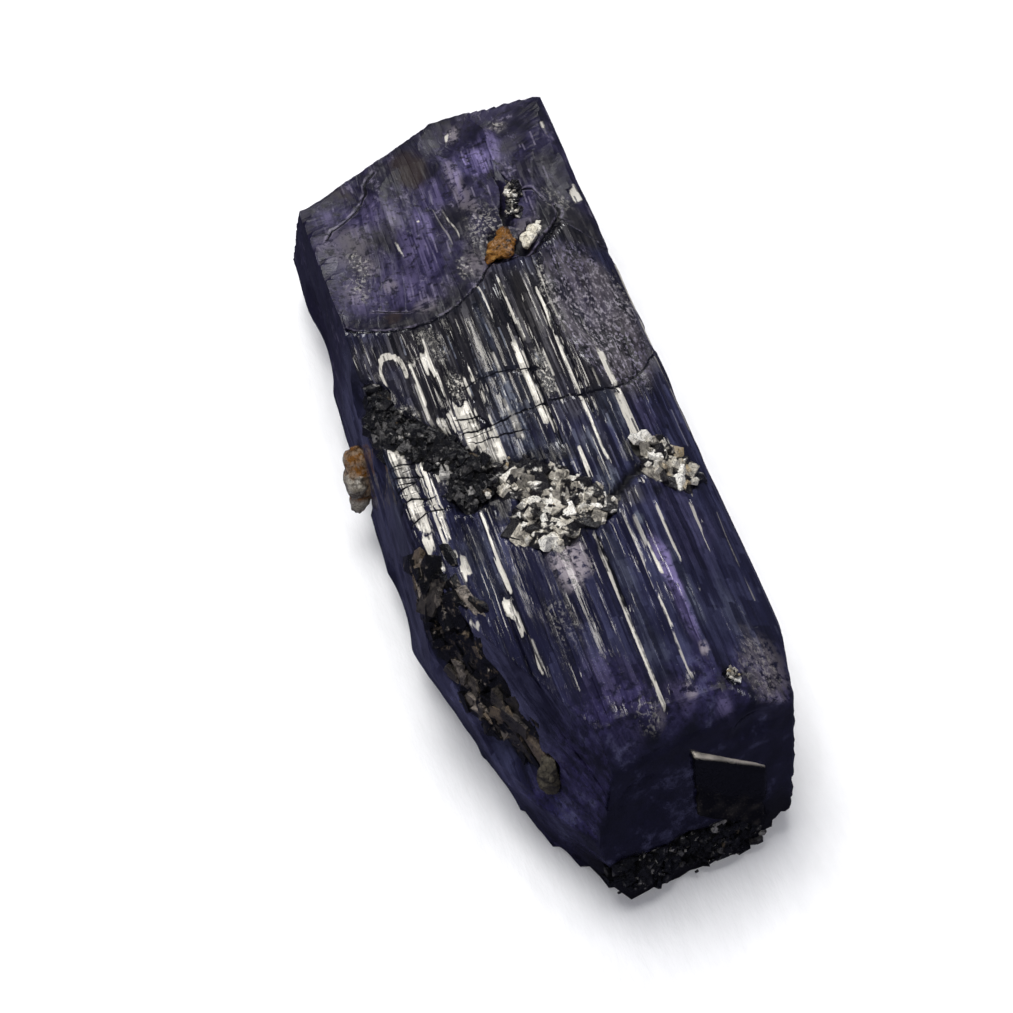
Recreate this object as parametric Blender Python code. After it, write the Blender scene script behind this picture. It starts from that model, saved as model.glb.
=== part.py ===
# Rough tanzanite crystal with mineral grains grown into it, lying on a small flat.
# The crystal runs along Y: its blunt natural end towards -Y, its broken end towards +Y, its
# broad striated faces up. Sizes below are in millimetres, angles in degrees.

import math
import random

import bmesh
import bpy
from mathutils import Matrix, Vector

MM = 0.001
SEED = 7

# Where the crystal's own frame stands, so that the whole part is centred on the origin
FRAME_PLACE = (-0.15, -1.0, 0.0)

# A point on the crystal's long axis, from which all flat faces are measured
AXIS_POINT = Vector((0.0, 0.0, 4.7))

# Long faces on top, as bearing of the normal round Z (0 is -Y, 90 is +X), its lift above
# level, and the distance from the axis point
TOP_FACES = {
    "top_middle": (90, 86, 4.70),
    "top_left": (-90, 79, 4.80),
    "upper_left": (-90, 40, 6.70),
    "upper_right": (90, 58, 5.60),
}
SIDE_FACES = {
    "left_side": (-92.5, 3, 5.90),
    "right_edge": (90, 25, 7.10),
    "right_side": (90, -6, 6.60),
    "lower_left": (-93, -40, 6.40),
    "lower_right": (90, -45, 6.40),
    "underside": (0, -90, 4.70),
}
END_FACES = {
    "near_end": (8, 10, 15.80),
    "near_bevel": (4, 45, 13.45),
    "near_left": (-66, 14, 8.60),
    "near_left_low": (-76, -14, 7.70),
    "left_strip": (-60, -8, 10.40),
    "near_right": (76, 3, 9.45),
    "broken_slope": (200, 76, 5.83),
    "broken_left": (206, 15, 15.45),
    "broken_right": (178, 12, 18.10),
}
BLANK_LENGTH = 60.0
BLANK_HALF_WIDTH = 12.0
BLANK_BOTTOM = -2.0

# Growth steps along the top faces
STEP_WIDTH_RANGE = (0.28, 0.85)
STEP_DROP = 0.17
STEP_RISER = 0.05
STEP_DROP_BIAS = 1.5  # above 1, shallow steps are the more common

# Single grooves along the length: face, number, shortest and longest length, width, depth
GROOVES = {
    "top_left": (7, 3.0, 9.0, 0.30, 0.16),
    "top_middle": (7, 3.0, 10.0, 0.32, 0.18),
    "upper_left": (4, 3.0, 8.0, 0.34, 0.16),
    "upper_right": (6, 4.0, 11.0, 0.34, 0.18),
    "right_side": (4, 6.0, 12.0, 0.40, 0.16),
    "left_side": (4, 5.0, 10.0, 0.40, 0.16),
    "lower_right": (3, 6.0, 12.0, 0.45, 0.16),
    "lower_left": (3, 6.0, 12.0, 0.45, 0.16),
}
GROOVE_SPAN = (-12.0, 4.5)
GROOVE_REACH = 8.0       # how far from the middle of its face a groove may lie
GROOVE_DRIFT = 0.08      # how far it may drift sideways at each end
GROOVE_SIZE_RANGE = (0.7, 1.2)
GROOVE_ROLL = 22.0
GROOVE_FLOOR_LENGTH = 0.7  # its floor against its rim
GROOVE_FLOOR_WIDTH = 0.35

# Ledges along the edges: side they are seen from, their two ends there, width and depth
LEDGES = (
    ("right", (-9.5, 7.2), (10.5, 7.35), 0.85, 0.22),
    ("right", (-3.0, 5.4), (15.0, 5.5), 0.70, 0.20),
    ("left", (-2.5, 7.9), (9.0, 8.0), 0.70, 0.20),
    ("left", (-4.0, 5.2), (6.0, 5.0), 0.80, 0.18),
    ("near", (-2.8, 8.4), (1.2, 9.0), 0.60, 0.22),
)

# Shell-shaped breaks and hollows: place over the skin as (x, y, depth) seen from above,
# then the half axes of the ball that scoops them
TOP_SCOOPS = (
    ((-3.3, 9.2, 0.45), (4.4, 5.0, 1.8)),
    ((0.0, 13.0, 0.32), (3.4, 4.6, 1.6)),
    ((4.9, 12.9, 0.34), (2.6, 4.2, 1.4)),
    ((4.3, 4.3, 0.26), (2.7, 4.2, 1.3)),
    ((-3.4, 14.0, 0.30), (2.4, 2.4, 1.2)),
    ((2.4, 16.4, 0.28), (2.4, 2.2, 1.0)),
)
# The same, seen from the left, as (y, z, depth) and half axes along y, z and inwards
LEFT_SCOOPS = (
    ((2.7, 7.6, 0.55), (1.5, 1.7, 0.9)),
    ((0.9, 6.6, 0.45), (1.3, 1.6, 0.9)),
    ((4.6, 6.8, 0.40), (1.2, 1.4, 0.8)),
    ((-7.6, 7.2, 0.60), (1.8, 1.9, 1.1)),
    ((-9.8, 6.4, 0.55), (1.7, 1.6, 1.1)),
    ((-12.0, 4.8, 0.42), (1.8, 1.6, 1.0)),
    ((10.5, 3.2, 0.45), (3.6, 2.4, 1.2)),
    ((-3.0, 2.6, 0.35), (3.2, 1.9, 1.1)),
)
RIGHT_SCOOPS = (
    ((12.5, 4.4, 0.45), (3.6, 2.6, 1.2)),
    ((-8.2, 2.8, 0.35), (3.0, 1.8, 1.1)),
    ((1.0, 1.9, 0.30), (2.8, 1.4, 1.0)),
)
# Seen along Y, as (x, z, depth) and half axes along x, z and inwards
FAR_SCOOPS = (
    ((-3.4, 3.6, 0.85), (4.4, 4.2, 3.4)),
    ((1.6, 2.4, 0.70), (4.6, 3.4, 3.2)),
    ((4.8, 4.6, 0.55), (3.2, 4.0, 2.8)),
    ((-0.6, 5.4, 0.40), (3.4, 2.0, 2.0)),
)
NEAR_SCOOPS = (
    ((-0.5, 5.6, 0.28), (1.8, 2.4, 1.0)),
    ((1.2, 1.5, 0.45), (1.8, 1.3, 1.0)),
    ((3.9, 1.6, 0.40), (1.3, 1.4, 1.0)),
    ((4.2, 7.4, 0.22), (1.5, 1.2, 0.8)),
)
# Scoops with a longer half axis than this have a finer shell
LARGE_SCOOP = 3.5

# How rough the balls are that scoop the hollows and pits and that make the grains
SCOOP_ROUGHNESS = 0.02
PIT_ROUGHNESS = 0.12
LUMP_ROUGHNESS = 0.16

# Steps of fineness of a ball, from its twenty faces
COARSE_BALL = 1
MEDIUM_BALL = 2
FINE_BALL = 3

# Cracks across the crystal, as (x, y) points over the skin, and their radius
CRACKS = (
    (((-5.0, 6.1), (-4.2, 5.7), (-3.2, 5.5), (-2.2, 5.4), (-1.3, 5.6), (-0.4, 6.1), (0.4, 6.8),
      (1.1, 7.5)), 0.10),
    (((3.6, 8.8), (4.6, 9.2), (5.4, 10.3)), 0.08),
    (((-4.7, -2.3), (-3.9, -1.9), (-3.0, -1.9)), 0.07),
    (((1.9, -5.2), (2.6, -4.7), (3.2, -4.2), (3.8, -3.8)), 0.15),
    (((-5.0, -3.3), (-4.1, -3.0), (-3.2, -3.2)), 0.06),
)

# Pits between the grains, over an area seen from above
PIT_AREA = (-4.4, 0.6, -5.2, 0.8)
PIT_NUMBER = 12
PIT_RADIUS_RANGE = (0.14, 0.30)

# The least gap between a grain and the pocket that it fills, and how many lumps share a pocket
GRAIN_GAP = 0.08
POCKET_LUMPS = 4

# Grains that have grown in the surface. Each one is a row of lumps along a path over the skin:
# the side it is seen from, the path's points, the number of lumps, their radius range, how far
# they scatter across the path, how far their centres sink under the skin, and their thickness
# against their width.
GRAINS = {
    "calcite_crust": ("top", ((-2.0, -2.9), (-0.8, -3.2), (0.3, -4.1), (1.3, -5.2), (0.2, -5.0),
                              (-0.9, -4.6), (-1.4, -5.5), (-0.4, -5.9)), 17, (0.52, 0.80), 0.30, 0.26, 0.75),
    "graphite_patch": ("top", ((-4.3, 0.3), (-3.6, -0.6), (-3.1, -1.5), (-2.6, -2.5), (-3.3, -3.1)),
                       10, (0.54, 0.78), 0.30, 0.26, 0.70),
    "calcite_knob": ("top", ((4.2, -2.9), (4.8, -3.2), (5.3, -4.2), (4.5, -3.9)),
                     7, (0.52, 0.74), 0.22, 0.16, 0.85),
    "iron_stained_grain": ("top", ((2.2, 9.2), (2.2, 8.6), (1.7, 8.1)), 5, (0.42, 0.58), 0.12, 0.30, 0.8),
    "cream_grain": ("top", ((2.9, 8.1), (3.3, 8.7), (3.7, 9.1)), 5, (0.32, 0.42), 0.04, 0.22, 0.7),
    "pale_vein": ("top", ((2.9, 9.9), (3.2, 11.2), (3.8, 12.6)), 9, (0.32, 0.42), 0.05, 0.26, 0.8),
    "edge_grain": ("left", ((3.3, 3.8), (2.9, 3.1), (2.6, 2.3)), 6, (0.62, 0.82), 0.12, 0.02, 0.9),
    "graphite_seam": ("left", ((-5.6, 7.8), (-7.2, 7.3), (-8.8, 6.6), (-10.4, 5.9), (-11.8, 5.4)),
                      16, (0.80, 1.15), 0.62, 0.52, 0.65),
    "brown_lump": ("left", ((-13.6, 5.5), (-13.8, 5.0)), 3, (0.46, 0.56), 0.10, 0.22, 0.8),
    "graphite_tip": ("near", ((-1.3, 1.7), (0.2, 1.5), (1.5, 1.3), (3.0, 1.4), (4.3, 1.2)),
                     14, (0.70, 1.0), 0.30, 0.34, 0.65),
    "small_grain": ("top", ((3.6, -13.6), (3.8, -13.8)), 3, (0.20, 0.26), 0.05, 0.05, 0.9),
}

# A grain that grew round its neighbour gives way to the neighbour's pocket
GIVES_WAY = {"graphite_patch": "calcite_crust", "graphite_tip": "graphite_plate"}

# The dark plate let into the blunt end: its centre as (x, z), its size, slant and depth
PLATE_CENTRE = (3.1, 4.2)
PLATE_WIDTH = 3.1
PLATE_HEIGHT = 3.9
PLATE_THICKNESS = 0.9
PLATE_SLANT = -40.0
PLATE_SINK = 0.32

COLORS = {
    "tanzanite": ((0.055, 0.045, 0.19, 1.0), 0.16, 0.0),
    "calcite": ((0.62, 0.60, 0.54, 1.0), 0.45, 0.0),
    "graphite": ((0.018, 0.018, 0.020, 1.0), 0.34, 0.25),
    "iron_stain": ((0.30, 0.13, 0.025, 1.0), 0.50, 0.0),
    "clear_grain": ((0.55, 0.42, 0.28, 1.0), 0.30, 0.0),
    "brown_rock": ((0.11, 0.095, 0.07, 1.0), 0.55, 0.0),
}
GRAIN_MATERIALS = {
    "calcite_crust": "calcite",
    "graphite_patch": "graphite",
    "calcite_knob": "calcite",
    "iron_stained_grain": "iron_stain",
    "cream_grain": "calcite",
    "pale_vein": "calcite",
    "edge_grain": "clear_grain",
    "graphite_seam": "graphite",
    "brown_lump": "brown_rock",
    "graphite_tip": "graphite",
    "small_grain": "calcite",
}

# Tolerances: a slope that is no slope, a normal that looks along the crystal, two normals that
# are one face, and lengths in metres for a cut and for corners that are one
FLAT_SLOPE = 1e-6
END_ON = 0.9
SAME_FACE = 0.9999
CUT_TOLERANCE = 1e-8
MERGE_DISTANCE = 1e-7

VIEW_DIRECTIONS = {
    "top": Vector((0, 0, 1)),
    "left": Vector((-1, 0, 0)),
    "right": Vector((1, 0, 0)),
    "near": Vector((0, -1, 0)),
    "far": Vector((0, 1, 0)),
}


def clear_scene():
    for thing in list(bpy.data.objects):
        bpy.data.objects.remove(thing)


def new_collection(name, parent):
    collection = bpy.data.collections.new(name)
    parent.children.link(collection)
    return collection


def new_material(name, color, roughness, metallic):
    material = bpy.data.materials.new(name)
    material.use_nodes = True
    shader = material.node_tree.nodes["Principled BSDF"]
    shader.inputs["Base Color"].default_value = color
    shader.inputs["Roughness"].default_value = roughness
    shader.inputs["Metallic"].default_value = metallic
    return material


def face_normal(bearing, lift):
    turn = math.radians(bearing)
    rise = math.radians(lift)
    return Vector((math.sin(turn) * math.cos(rise), -math.cos(turn) * math.cos(rise), math.sin(rise)))


def all_faces():
    return {**TOP_FACES, **SIDE_FACES, **END_FACES}


def skin_hit(start, direction):
    # The nearest flat face met from a point inside the crystal, with its outward normal
    best = None
    for bearing, lift, distance in all_faces().values():
        normal = face_normal(bearing, lift)
        slope = normal.dot(direction)
        if slope < FLAT_SLOPE:
            continue
        reach = (distance - normal.dot(start - AXIS_POINT)) / slope
        if best is None or reach < best[0]:
            best = (reach, normal)
    return start + direction * best[0], best[1]


def skin_point(side, first, second):
    # A point on the skin, given by the two coordinates seen from that side
    middle = {
        "top": Vector((first, second, AXIS_POINT.z)),
        "left": Vector((0.0, first, second)),
        "right": Vector((0.0, first, second)),
        "near": Vector((first, 0.0, second)),
        "far": Vector((first, 0.0, second)),
    }[side]
    return skin_hit(middle, VIEW_DIRECTIONS[side])


def surface_matrix(point, normal, along):
    # Local z out of the skin, local y along the given direction
    forward = (along - normal * along.dot(normal)).normalized()
    across = forward.cross(normal)
    rotation = Matrix((across, forward, normal)).transposed().to_4x4()
    return Matrix.Translation(point * MM) @ rotation


def add_object(mesh_builder, name, collection, frame, material=None):
    mesh = bpy.data.meshes.new(name)
    mesh_builder.to_mesh(mesh)
    mesh_builder.free()
    thing = bpy.data.objects.new(name, mesh)
    collection.objects.link(thing)
    thing.parent = frame
    if material:
        mesh.materials.append(material)
    else:
        thing.hide_render = True
        thing.display_type = "WIRE"
    return thing


def add_boolean(thing, name, operation, collection):
    modifier = thing.modifiers.new(name, "BOOLEAN")
    modifier.operation = operation
    modifier.solver = "EXACT"
    modifier.operand_type = "COLLECTION"
    modifier.collection = collection


def top_height(x):
    # Height of the long faces over the place x
    height = math.inf
    for bearing, lift, distance in TOP_FACES.values():
        normal = face_normal(bearing, lift)
        height = min(height, AXIS_POINT.z + (distance - normal.x * x) / normal.z)
    return height


def stepped_profile(dice):
    # Outline of the blank in the XZ plane, with growth steps along its top
    outline = [(BLANK_HALF_WIDTH, BLANK_BOTTOM), (-BLANK_HALF_WIDTH, BLANK_BOTTOM)]
    x = -BLANK_HALF_WIDTH
    while x < BLANK_HALF_WIDTH:
        width = dice.uniform(*STEP_WIDTH_RANGE)
        drop = STEP_DROP * dice.random() ** STEP_DROP_BIAS
        left = x + STEP_RISER / 2
        right = x + width - STEP_RISER / 2
        outline.append((left, top_height(left) - drop))
        outline.append((right, top_height(right) - drop))
        x += width
    return outline


def striated_blank(dice):
    # The stepped outline drawn out along Y
    builder = bmesh.new()
    corners = [builder.verts.new((x * MM, -BLANK_LENGTH / 2 * MM, z * MM)) for x, z in stepped_profile(dice)]
    outline = builder.faces.new(corners)
    drawn = bmesh.ops.extrude_face_region(builder, geom=[outline])
    moved = [item for item in drawn["geom"] if isinstance(item, bmesh.types.BMVert)]
    bmesh.ops.translate(builder, verts=moved, vec=(0, BLANK_LENGTH * MM, 0))
    bmesh.ops.recalc_face_normals(builder, faces=builder.faces)
    return builder


def cut_flat(builder, bearing, lift, distance):
    normal = face_normal(bearing, lift)
    geometry = builder.verts[:] + builder.edges[:] + builder.faces[:]
    bmesh.ops.bisect_plane(
        builder, geom=geometry, dist=CUT_TOLERANCE, plane_co=(AXIS_POINT + normal * distance) * MM,
        plane_no=normal, clear_outer=True,
    )
    rim = [edge for edge in builder.edges if edge.is_boundary]
    bmesh.ops.holes_fill(builder, edges=rim, sides=0)


def crystal_body(dice):
    builder = striated_blank(dice)
    for face in {**SIDE_FACES, **END_FACES}.values():
        cut_flat(builder, *face)
    bmesh.ops.recalc_face_normals(builder, faces=builder.faces)
    return builder


def groove_cutter(start, end, normal, width, depth, roll):
    # A bar sunk in the skin, whose underside rises at both ends so that the groove runs out
    length = (end - start).length
    builder = bmesh.new()
    bmesh.ops.create_cube(builder, size=1.0)
    for corner in builder.verts:
        corner.co.x *= width
        corner.co.y *= length
        corner.co.z *= 2 * depth
        if corner.co.z < 0:
            corner.co.y *= GROOVE_FLOOR_LENGTH
            corner.co.x *= GROOVE_FLOOR_WIDTH
    place = surface_matrix((start + end) / 2, normal, end - start)
    tilt = Matrix.Rotation(math.radians(roll), 4, "Y")
    builder.transform(place @ tilt @ Matrix.Scale(MM, 4))
    return builder


def add_grooves(dice, collection, frame):
    for face_name, (number, shortest, longest, width, depth) in GROOVES.items():
        bearing, lift, distance = all_faces()[face_name]
        normal = face_normal(bearing, lift)
        lateral = Vector((0, 1, 0)).cross(normal).normalized()
        anchor = AXIS_POINT + normal * distance
        placed = 0
        while placed < number:
            offset = dice.uniform(-GROOVE_REACH, GROOVE_REACH)
            length = dice.uniform(shortest, longest)
            middle = dice.uniform(*GROOVE_SPAN)
            drift = dice.uniform(-GROOVE_DRIFT, GROOVE_DRIFT)
            start = anchor + lateral * (offset - drift) + Vector((0, middle - length / 2, 0))
            end = anchor + lateral * (offset + drift) + Vector((0, middle + length / 2, 0))
            inside = AXIS_POINT + Vector((0, middle, 0))
            met = [skin_hit(inside, (point - inside).normalized())[1] for point in (start, end)]
            if any(other.dot(normal) < SAME_FACE for other in met):
                continue
            size = dice.uniform(*GROOVE_SIZE_RANGE)
            roll = dice.uniform(-GROOVE_ROLL, GROOVE_ROLL)
            cutter = groove_cutter(start, end, normal, width * size, depth * size, roll)
            add_object(cutter, f"groove_{face_name}_{placed}", collection, frame)
            placed += 1


def add_ledges(collection, frame):
    for number, (side, first, second, width, depth) in enumerate(LEDGES):
        start, start_normal = skin_point(side, *first)
        end, end_normal = skin_point(side, *second)
        normal = (start_normal + end_normal).normalized()
        cutter = groove_cutter(start, end, normal, width, depth, 0.0)
        add_object(cutter, f"ledge_{number}", collection, frame)


def rough_ball(dice, subdivisions, roughness):
    builder = bmesh.new()
    bmesh.ops.create_icosphere(builder, subdivisions=subdivisions, radius=1.0)
    for corner in builder.verts:
        corner.co *= 1 + dice.uniform(-roughness, roughness)
    return builder


def add_scoops(dice, collection, frame):
    groups = {
        "top": TOP_SCOOPS, "left": LEFT_SCOOPS, "right": RIGHT_SCOOPS, "far": FAR_SCOOPS, "near": NEAR_SCOOPS,
    }
    for side, scoops in groups.items():
        for number, ((first, second, depth), half_axes) in enumerate(scoops):
            point, normal = skin_point(side, first, second)
            along = Vector((0, 0, 1)) if side in ("near", "far") else Vector((0, 1, 0))
            if side in ("left", "right"):
                half_axes = (half_axes[1], half_axes[0], half_axes[2])
            fineness = FINE_BALL if half_axes[0] > LARGE_SCOOP else MEDIUM_BALL
            builder = rough_ball(dice, fineness, SCOOP_ROUGHNESS)
            turn = Matrix.Rotation(dice.uniform(0, math.tau), 4, "Z")
            builder.transform(turn)
            centre = point + normal * (half_axes[2] - depth)
            size = Matrix.Diagonal((*half_axes, 1.0))
            builder.transform(surface_matrix(centre, normal, along) @ Matrix.Scale(MM, 4) @ size)
            add_object(builder, f"scoop_{side}_{number}", collection, frame)


def add_pits(dice, collection, frame):
    left, right, near, far = PIT_AREA
    for number in range(PIT_NUMBER):
        point, normal = skin_point("top", dice.uniform(left, right), dice.uniform(near, far))
        radius = dice.uniform(*PIT_RADIUS_RANGE)
        builder = rough_ball(dice, COARSE_BALL, PIT_ROUGHNESS)
        place = surface_matrix(point, normal, Vector((0, 1, 0)))
        builder.transform(place @ Matrix.Scale(radius * MM, 4))
        add_object(builder, f"pit_{number}", collection, frame)


def add_cracks(collection, frame):
    for number, (places, radius) in enumerate(CRACKS):
        curve = bpy.data.curves.new(f"crack_{number}", "CURVE")
        curve.dimensions = "3D"
        curve.bevel_depth = radius * MM
        curve.bevel_resolution = 0
        curve.use_fill_caps = True
        spline = curve.splines.new("POLY")
        spline.points.add(len(places) - 1)
        for point, (x, y) in zip(spline.points, places):
            skin = skin_point("top", x, y)[0]
            point.co = (*(skin * MM), 1.0)
        thread = bpy.data.objects.new(f"crack_{number}", curve)
        collection.objects.link(thread)
        bpy.context.view_layer.update()
        evaluated = thread.evaluated_get(bpy.context.evaluated_depsgraph_get())
        mesh = bpy.data.meshes.new_from_object(evaluated)
        bpy.data.objects.remove(thread)
        builder = bmesh.new()
        builder.from_mesh(mesh)
        bmesh.ops.remove_doubles(builder, verts=builder.verts, dist=MERGE_DISTANCE)
        bpy.data.meshes.remove(mesh)
        add_object(builder, f"crack_{number}", collection, frame)


def path_point(points, share):
    # The place at a share of the way along a path of points
    reach = share * (len(points) - 1)
    index = min(int(reach), len(points) - 2)
    return Vector(points[index]).lerp(Vector(points[index + 1]), reach - index)


def grain_lumps(name):
    # The lumps of one grain, as place, radius and thickness
    side, points, number, radii, scatter, sink, flatness = GRAINS[name]
    dice = random.Random(f"{SEED} {name}")
    lumps = []
    for index in range(number):
        place = path_point(points, index / (number - 1))
        place += Vector((dice.uniform(-scatter, scatter), dice.uniform(-scatter, scatter)))
        point, normal = skin_point(side, *place)
        radius = dice.uniform(*radii)
        turn = dice.uniform(0, math.tau)
        lumps.append((point - normal * sink, normal, radius, radius * flatness, turn, dice.random()))
    return lumps


def lump_builder(lump, grow):
    # One lump, a rough ball that is flattened against the skin and can be grown all round
    point, normal, radius, thickness, turn, seed = lump
    builder = rough_ball(random.Random(seed), COARSE_BALL, LUMP_ROUGHNESS)
    builder.transform(Matrix.Rotation(turn, 4, "Z"))
    along = Vector((0, 0, 1)) if abs(normal.y) > END_ON else Vector((0, 1, 0))
    size = Matrix.Diagonal((radius + grow, radius + grow, thickness + grow, 1.0))
    builder.transform(surface_matrix(point, normal, along) @ Matrix.Scale(MM, 4) @ size)
    return builder


def pocket_builder(lumps):
    # The hull round a few neighbouring lumps that are grown by the gap
    builder = bmesh.new()
    for lump in lumps:
        grown = lump_builder(lump, GRAIN_GAP)
        for corner in grown.verts:
            builder.verts.new(corner.co)
        grown.free()
    hull = bmesh.ops.convex_hull(builder, input=builder.verts)
    spare = dict.fromkeys(hull["geom_interior"] + hull["geom_unused"])
    spare_corners = [item for item in spare if isinstance(item, bmesh.types.BMVert)]
    bmesh.ops.delete(builder, geom=spare_corners, context="VERTS")
    return builder


def add_grain(name, parts, cutters, pockets, frame, materials):
    lumps = grain_lumps(name)
    others = new_collection(f"{name}_lumps", cutters)
    own_pockets = new_collection(f"{name}_pockets", pockets)
    for number, lump in enumerate(lumps[1:]):
        add_object(lump_builder(lump, 0.0), f"{name}_lump_{number}", others, frame)
    for first in range(0, len(lumps) - 1, POCKET_LUMPS - 1):
        pocket = pocket_builder(lumps[first:first + POCKET_LUMPS])
        add_object(pocket, f"{name}_pocket_{first}", own_pockets, frame)
    grain = add_object(lump_builder(lumps[0], 0.0), name, parts, frame, materials[GRAIN_MATERIALS[name]])
    add_boolean(grain, "lumps", "UNION", others)


def plate_builder(grow):
    # A slab with upright sides whose upper and lower edges slant, let into the blunt end
    point, normal = skin_point("near", *PLATE_CENTRE)
    builder = bmesh.new()
    bmesh.ops.create_cube(builder, size=1.0)
    for corner in builder.verts:
        corner.co.x *= PLATE_WIDTH + 2 * grow
        corner.co.y *= PLATE_HEIGHT + 2 * grow
        corner.co.z *= PLATE_THICKNESS + 2 * grow
        corner.co.y += corner.co.x * math.tan(math.radians(PLATE_SLANT))
    place = surface_matrix(point - normal * PLATE_SINK, normal, Vector((0, 0, 1)))
    builder.transform(place @ Matrix.Scale(MM, 4))
    return builder


def build():
    clear_scene()
    root = bpy.context.scene.collection
    parts = new_collection("rough_tanzanite_crystal", root)
    cutters = new_collection("cutters", root)
    carving = new_collection("carving", cutters)
    pockets = new_collection("pockets", cutters)
    frame = bpy.data.objects.new("crystal_frame", None)
    frame.location = Vector(FRAME_PLACE) * MM
    parts.objects.link(frame)
    materials = {name: new_material(name, *look) for name, look in COLORS.items()}

    dice = random.Random(SEED)
    crystal = add_object(crystal_body(dice), "tanzanite_crystal", parts, frame, materials["tanzanite"])
    add_grooves(dice, carving, frame)
    add_ledges(carving, frame)
    add_scoops(dice, carving, frame)
    add_pits(dice, carving, frame)
    add_cracks(carving, frame)
    for name in GRAINS:
        add_grain(name, parts, cutters, pockets, frame, materials)
    plate_pockets = new_collection("graphite_plate_pockets", pockets)
    add_object(plate_builder(0.0), "graphite_plate", parts, frame, materials["graphite"])
    add_object(plate_builder(GRAIN_GAP), "graphite_plate_pocket", plate_pockets, frame)
    for name, neighbour in GIVES_WAY.items():
        room = bpy.data.collections[f"{neighbour}_pockets"]
        add_boolean(bpy.data.objects[name], "room", "DIFFERENCE", room)
    add_boolean(crystal, "carving", "DIFFERENCE", carving)
    add_boolean(crystal, "pockets", "DIFFERENCE", pockets)


build()
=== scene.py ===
# Rough tanzanite crystal: its surface, its grains and their materials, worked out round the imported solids
import math
import bmesh
import bpy
import numpy as np
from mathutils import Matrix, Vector


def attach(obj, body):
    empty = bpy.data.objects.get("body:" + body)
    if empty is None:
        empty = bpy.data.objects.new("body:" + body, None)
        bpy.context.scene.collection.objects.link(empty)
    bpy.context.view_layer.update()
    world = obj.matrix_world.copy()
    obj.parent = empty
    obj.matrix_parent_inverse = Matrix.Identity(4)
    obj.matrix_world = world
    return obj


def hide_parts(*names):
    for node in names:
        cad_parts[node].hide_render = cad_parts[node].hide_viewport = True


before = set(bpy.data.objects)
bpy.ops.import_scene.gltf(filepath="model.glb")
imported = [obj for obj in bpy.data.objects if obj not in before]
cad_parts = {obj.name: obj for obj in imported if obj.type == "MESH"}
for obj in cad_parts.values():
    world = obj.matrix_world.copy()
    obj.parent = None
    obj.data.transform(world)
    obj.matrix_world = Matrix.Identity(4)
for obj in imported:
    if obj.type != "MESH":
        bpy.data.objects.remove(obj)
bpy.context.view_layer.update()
print("frame loaded:", len(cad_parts), "solids")

mm = 0.001
framePlace = np.array([-0.15, -1.0, 0.0])  # the crystal's own frame in the part, mm
axisPoint = np.array([0.0, 0.0, 4.7])      # a point on its long axis, mm
bodyName = "root"


# Numbers and noise

def signedLineDistance(x, y, points):
    # distance to a chain of runs, positive on its left and negative on its right
    best = np.full(x.shape, 1e9)
    for (ax, ay), (bx, by) in zip(points[:-1], points[1:]):
        share = np.clip(((x - ax) * (bx - ax) + (y - ay) * (by - ay)) / ((bx - ax) ** 2 + (by - ay) ** 2), 0.0, 1.0)
        distance = np.hypot(x - ax - share * (bx - ax), y - ay - share * (by - ay))
        side = np.where((bx - ax) * (y - ay) - (by - ay) * (x - ax) < 0, -1.0, 1.0)
        best = np.where(distance < np.abs(best), distance * side, best)
    return best


def smoothStep(low, high, value):
    # 0 below low, 1 above high, and 3t^2 - 2t^3 between
    t = np.clip((value - low) / (high - low), 0.0, 1.0)
    return t * t * (3.0 - 2.0 * t)


def cellHash(cells, seed):
    # a whole-number mix of the three cell numbers, scaled to 0..1
    mixed = (cells[..., 0] * 73856093) ^ (cells[..., 1] * 19349663) ^ (cells[..., 2] * 83492791) ^ (seed * 2654435)
    mixed = (mixed ^ (mixed >> 13)) * 1274126177
    mixed = (mixed ^ (mixed >> 16)) & 0xFFFFFF
    return mixed / float(0xFFFFFF)


def smoothNoise(points, size, seed):
    # random values at the corners of cells of the given size, blended smoothly; result -1..1
    scaled = points / size
    low = np.floor(scaled).astype(np.int64)
    part = scaled - low
    part = part * part * (3.0 - 2.0 * part)
    total = np.zeros(points.shape[:-1])
    for corner in range(8):
        step = np.array([corner & 1, (corner >> 1) & 1, (corner >> 2) & 1])
        weight = np.prod(np.where(step == 1, part, 1.0 - part), axis=-1)
        total += weight * cellHash(low + step, seed)
    return total * 2.0 - 1.0


def layeredNoise(points, size, layers, seed):
    # each layer has half the size and half the strength of the one before; result about -1..1
    total = np.zeros(points.shape[:-1])
    strength = 1.0
    for layer in range(layers):
        total += strength * smoothNoise(points + layer * 17.3, size / 2 ** layer, seed + layer)
        strength *= 0.5
    return total / (2.0 - 2.0 * 0.5 ** layers)


def cellNoise(points, size, seed):
    # one random site in each cell: distance to the nearest site, to the second nearest, and the nearest one's value
    scaled = points / size
    low = np.floor(scaled).astype(np.int64)
    nearest = np.full(points.shape[:-1], 9.0)
    second = np.full(points.shape[:-1], 9.0)
    value = np.zeros(points.shape[:-1])
    for index in range(27):
        step = np.array([index % 3 - 1, index // 3 % 3 - 1, index // 9 - 1])
        cell = low + step
        site = np.stack([cellHash(cell, seed + k) for k in range(3)], axis=-1)
        distance = np.linalg.norm(cell + site - scaled, axis=-1)
        closer = distance < nearest
        second = np.where(closer, nearest, np.minimum(second, distance))
        value = np.where(closer, cellHash(cell, seed + 9), value)
        nearest = np.where(closer, distance, nearest)
    return nearest, second, value


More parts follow.
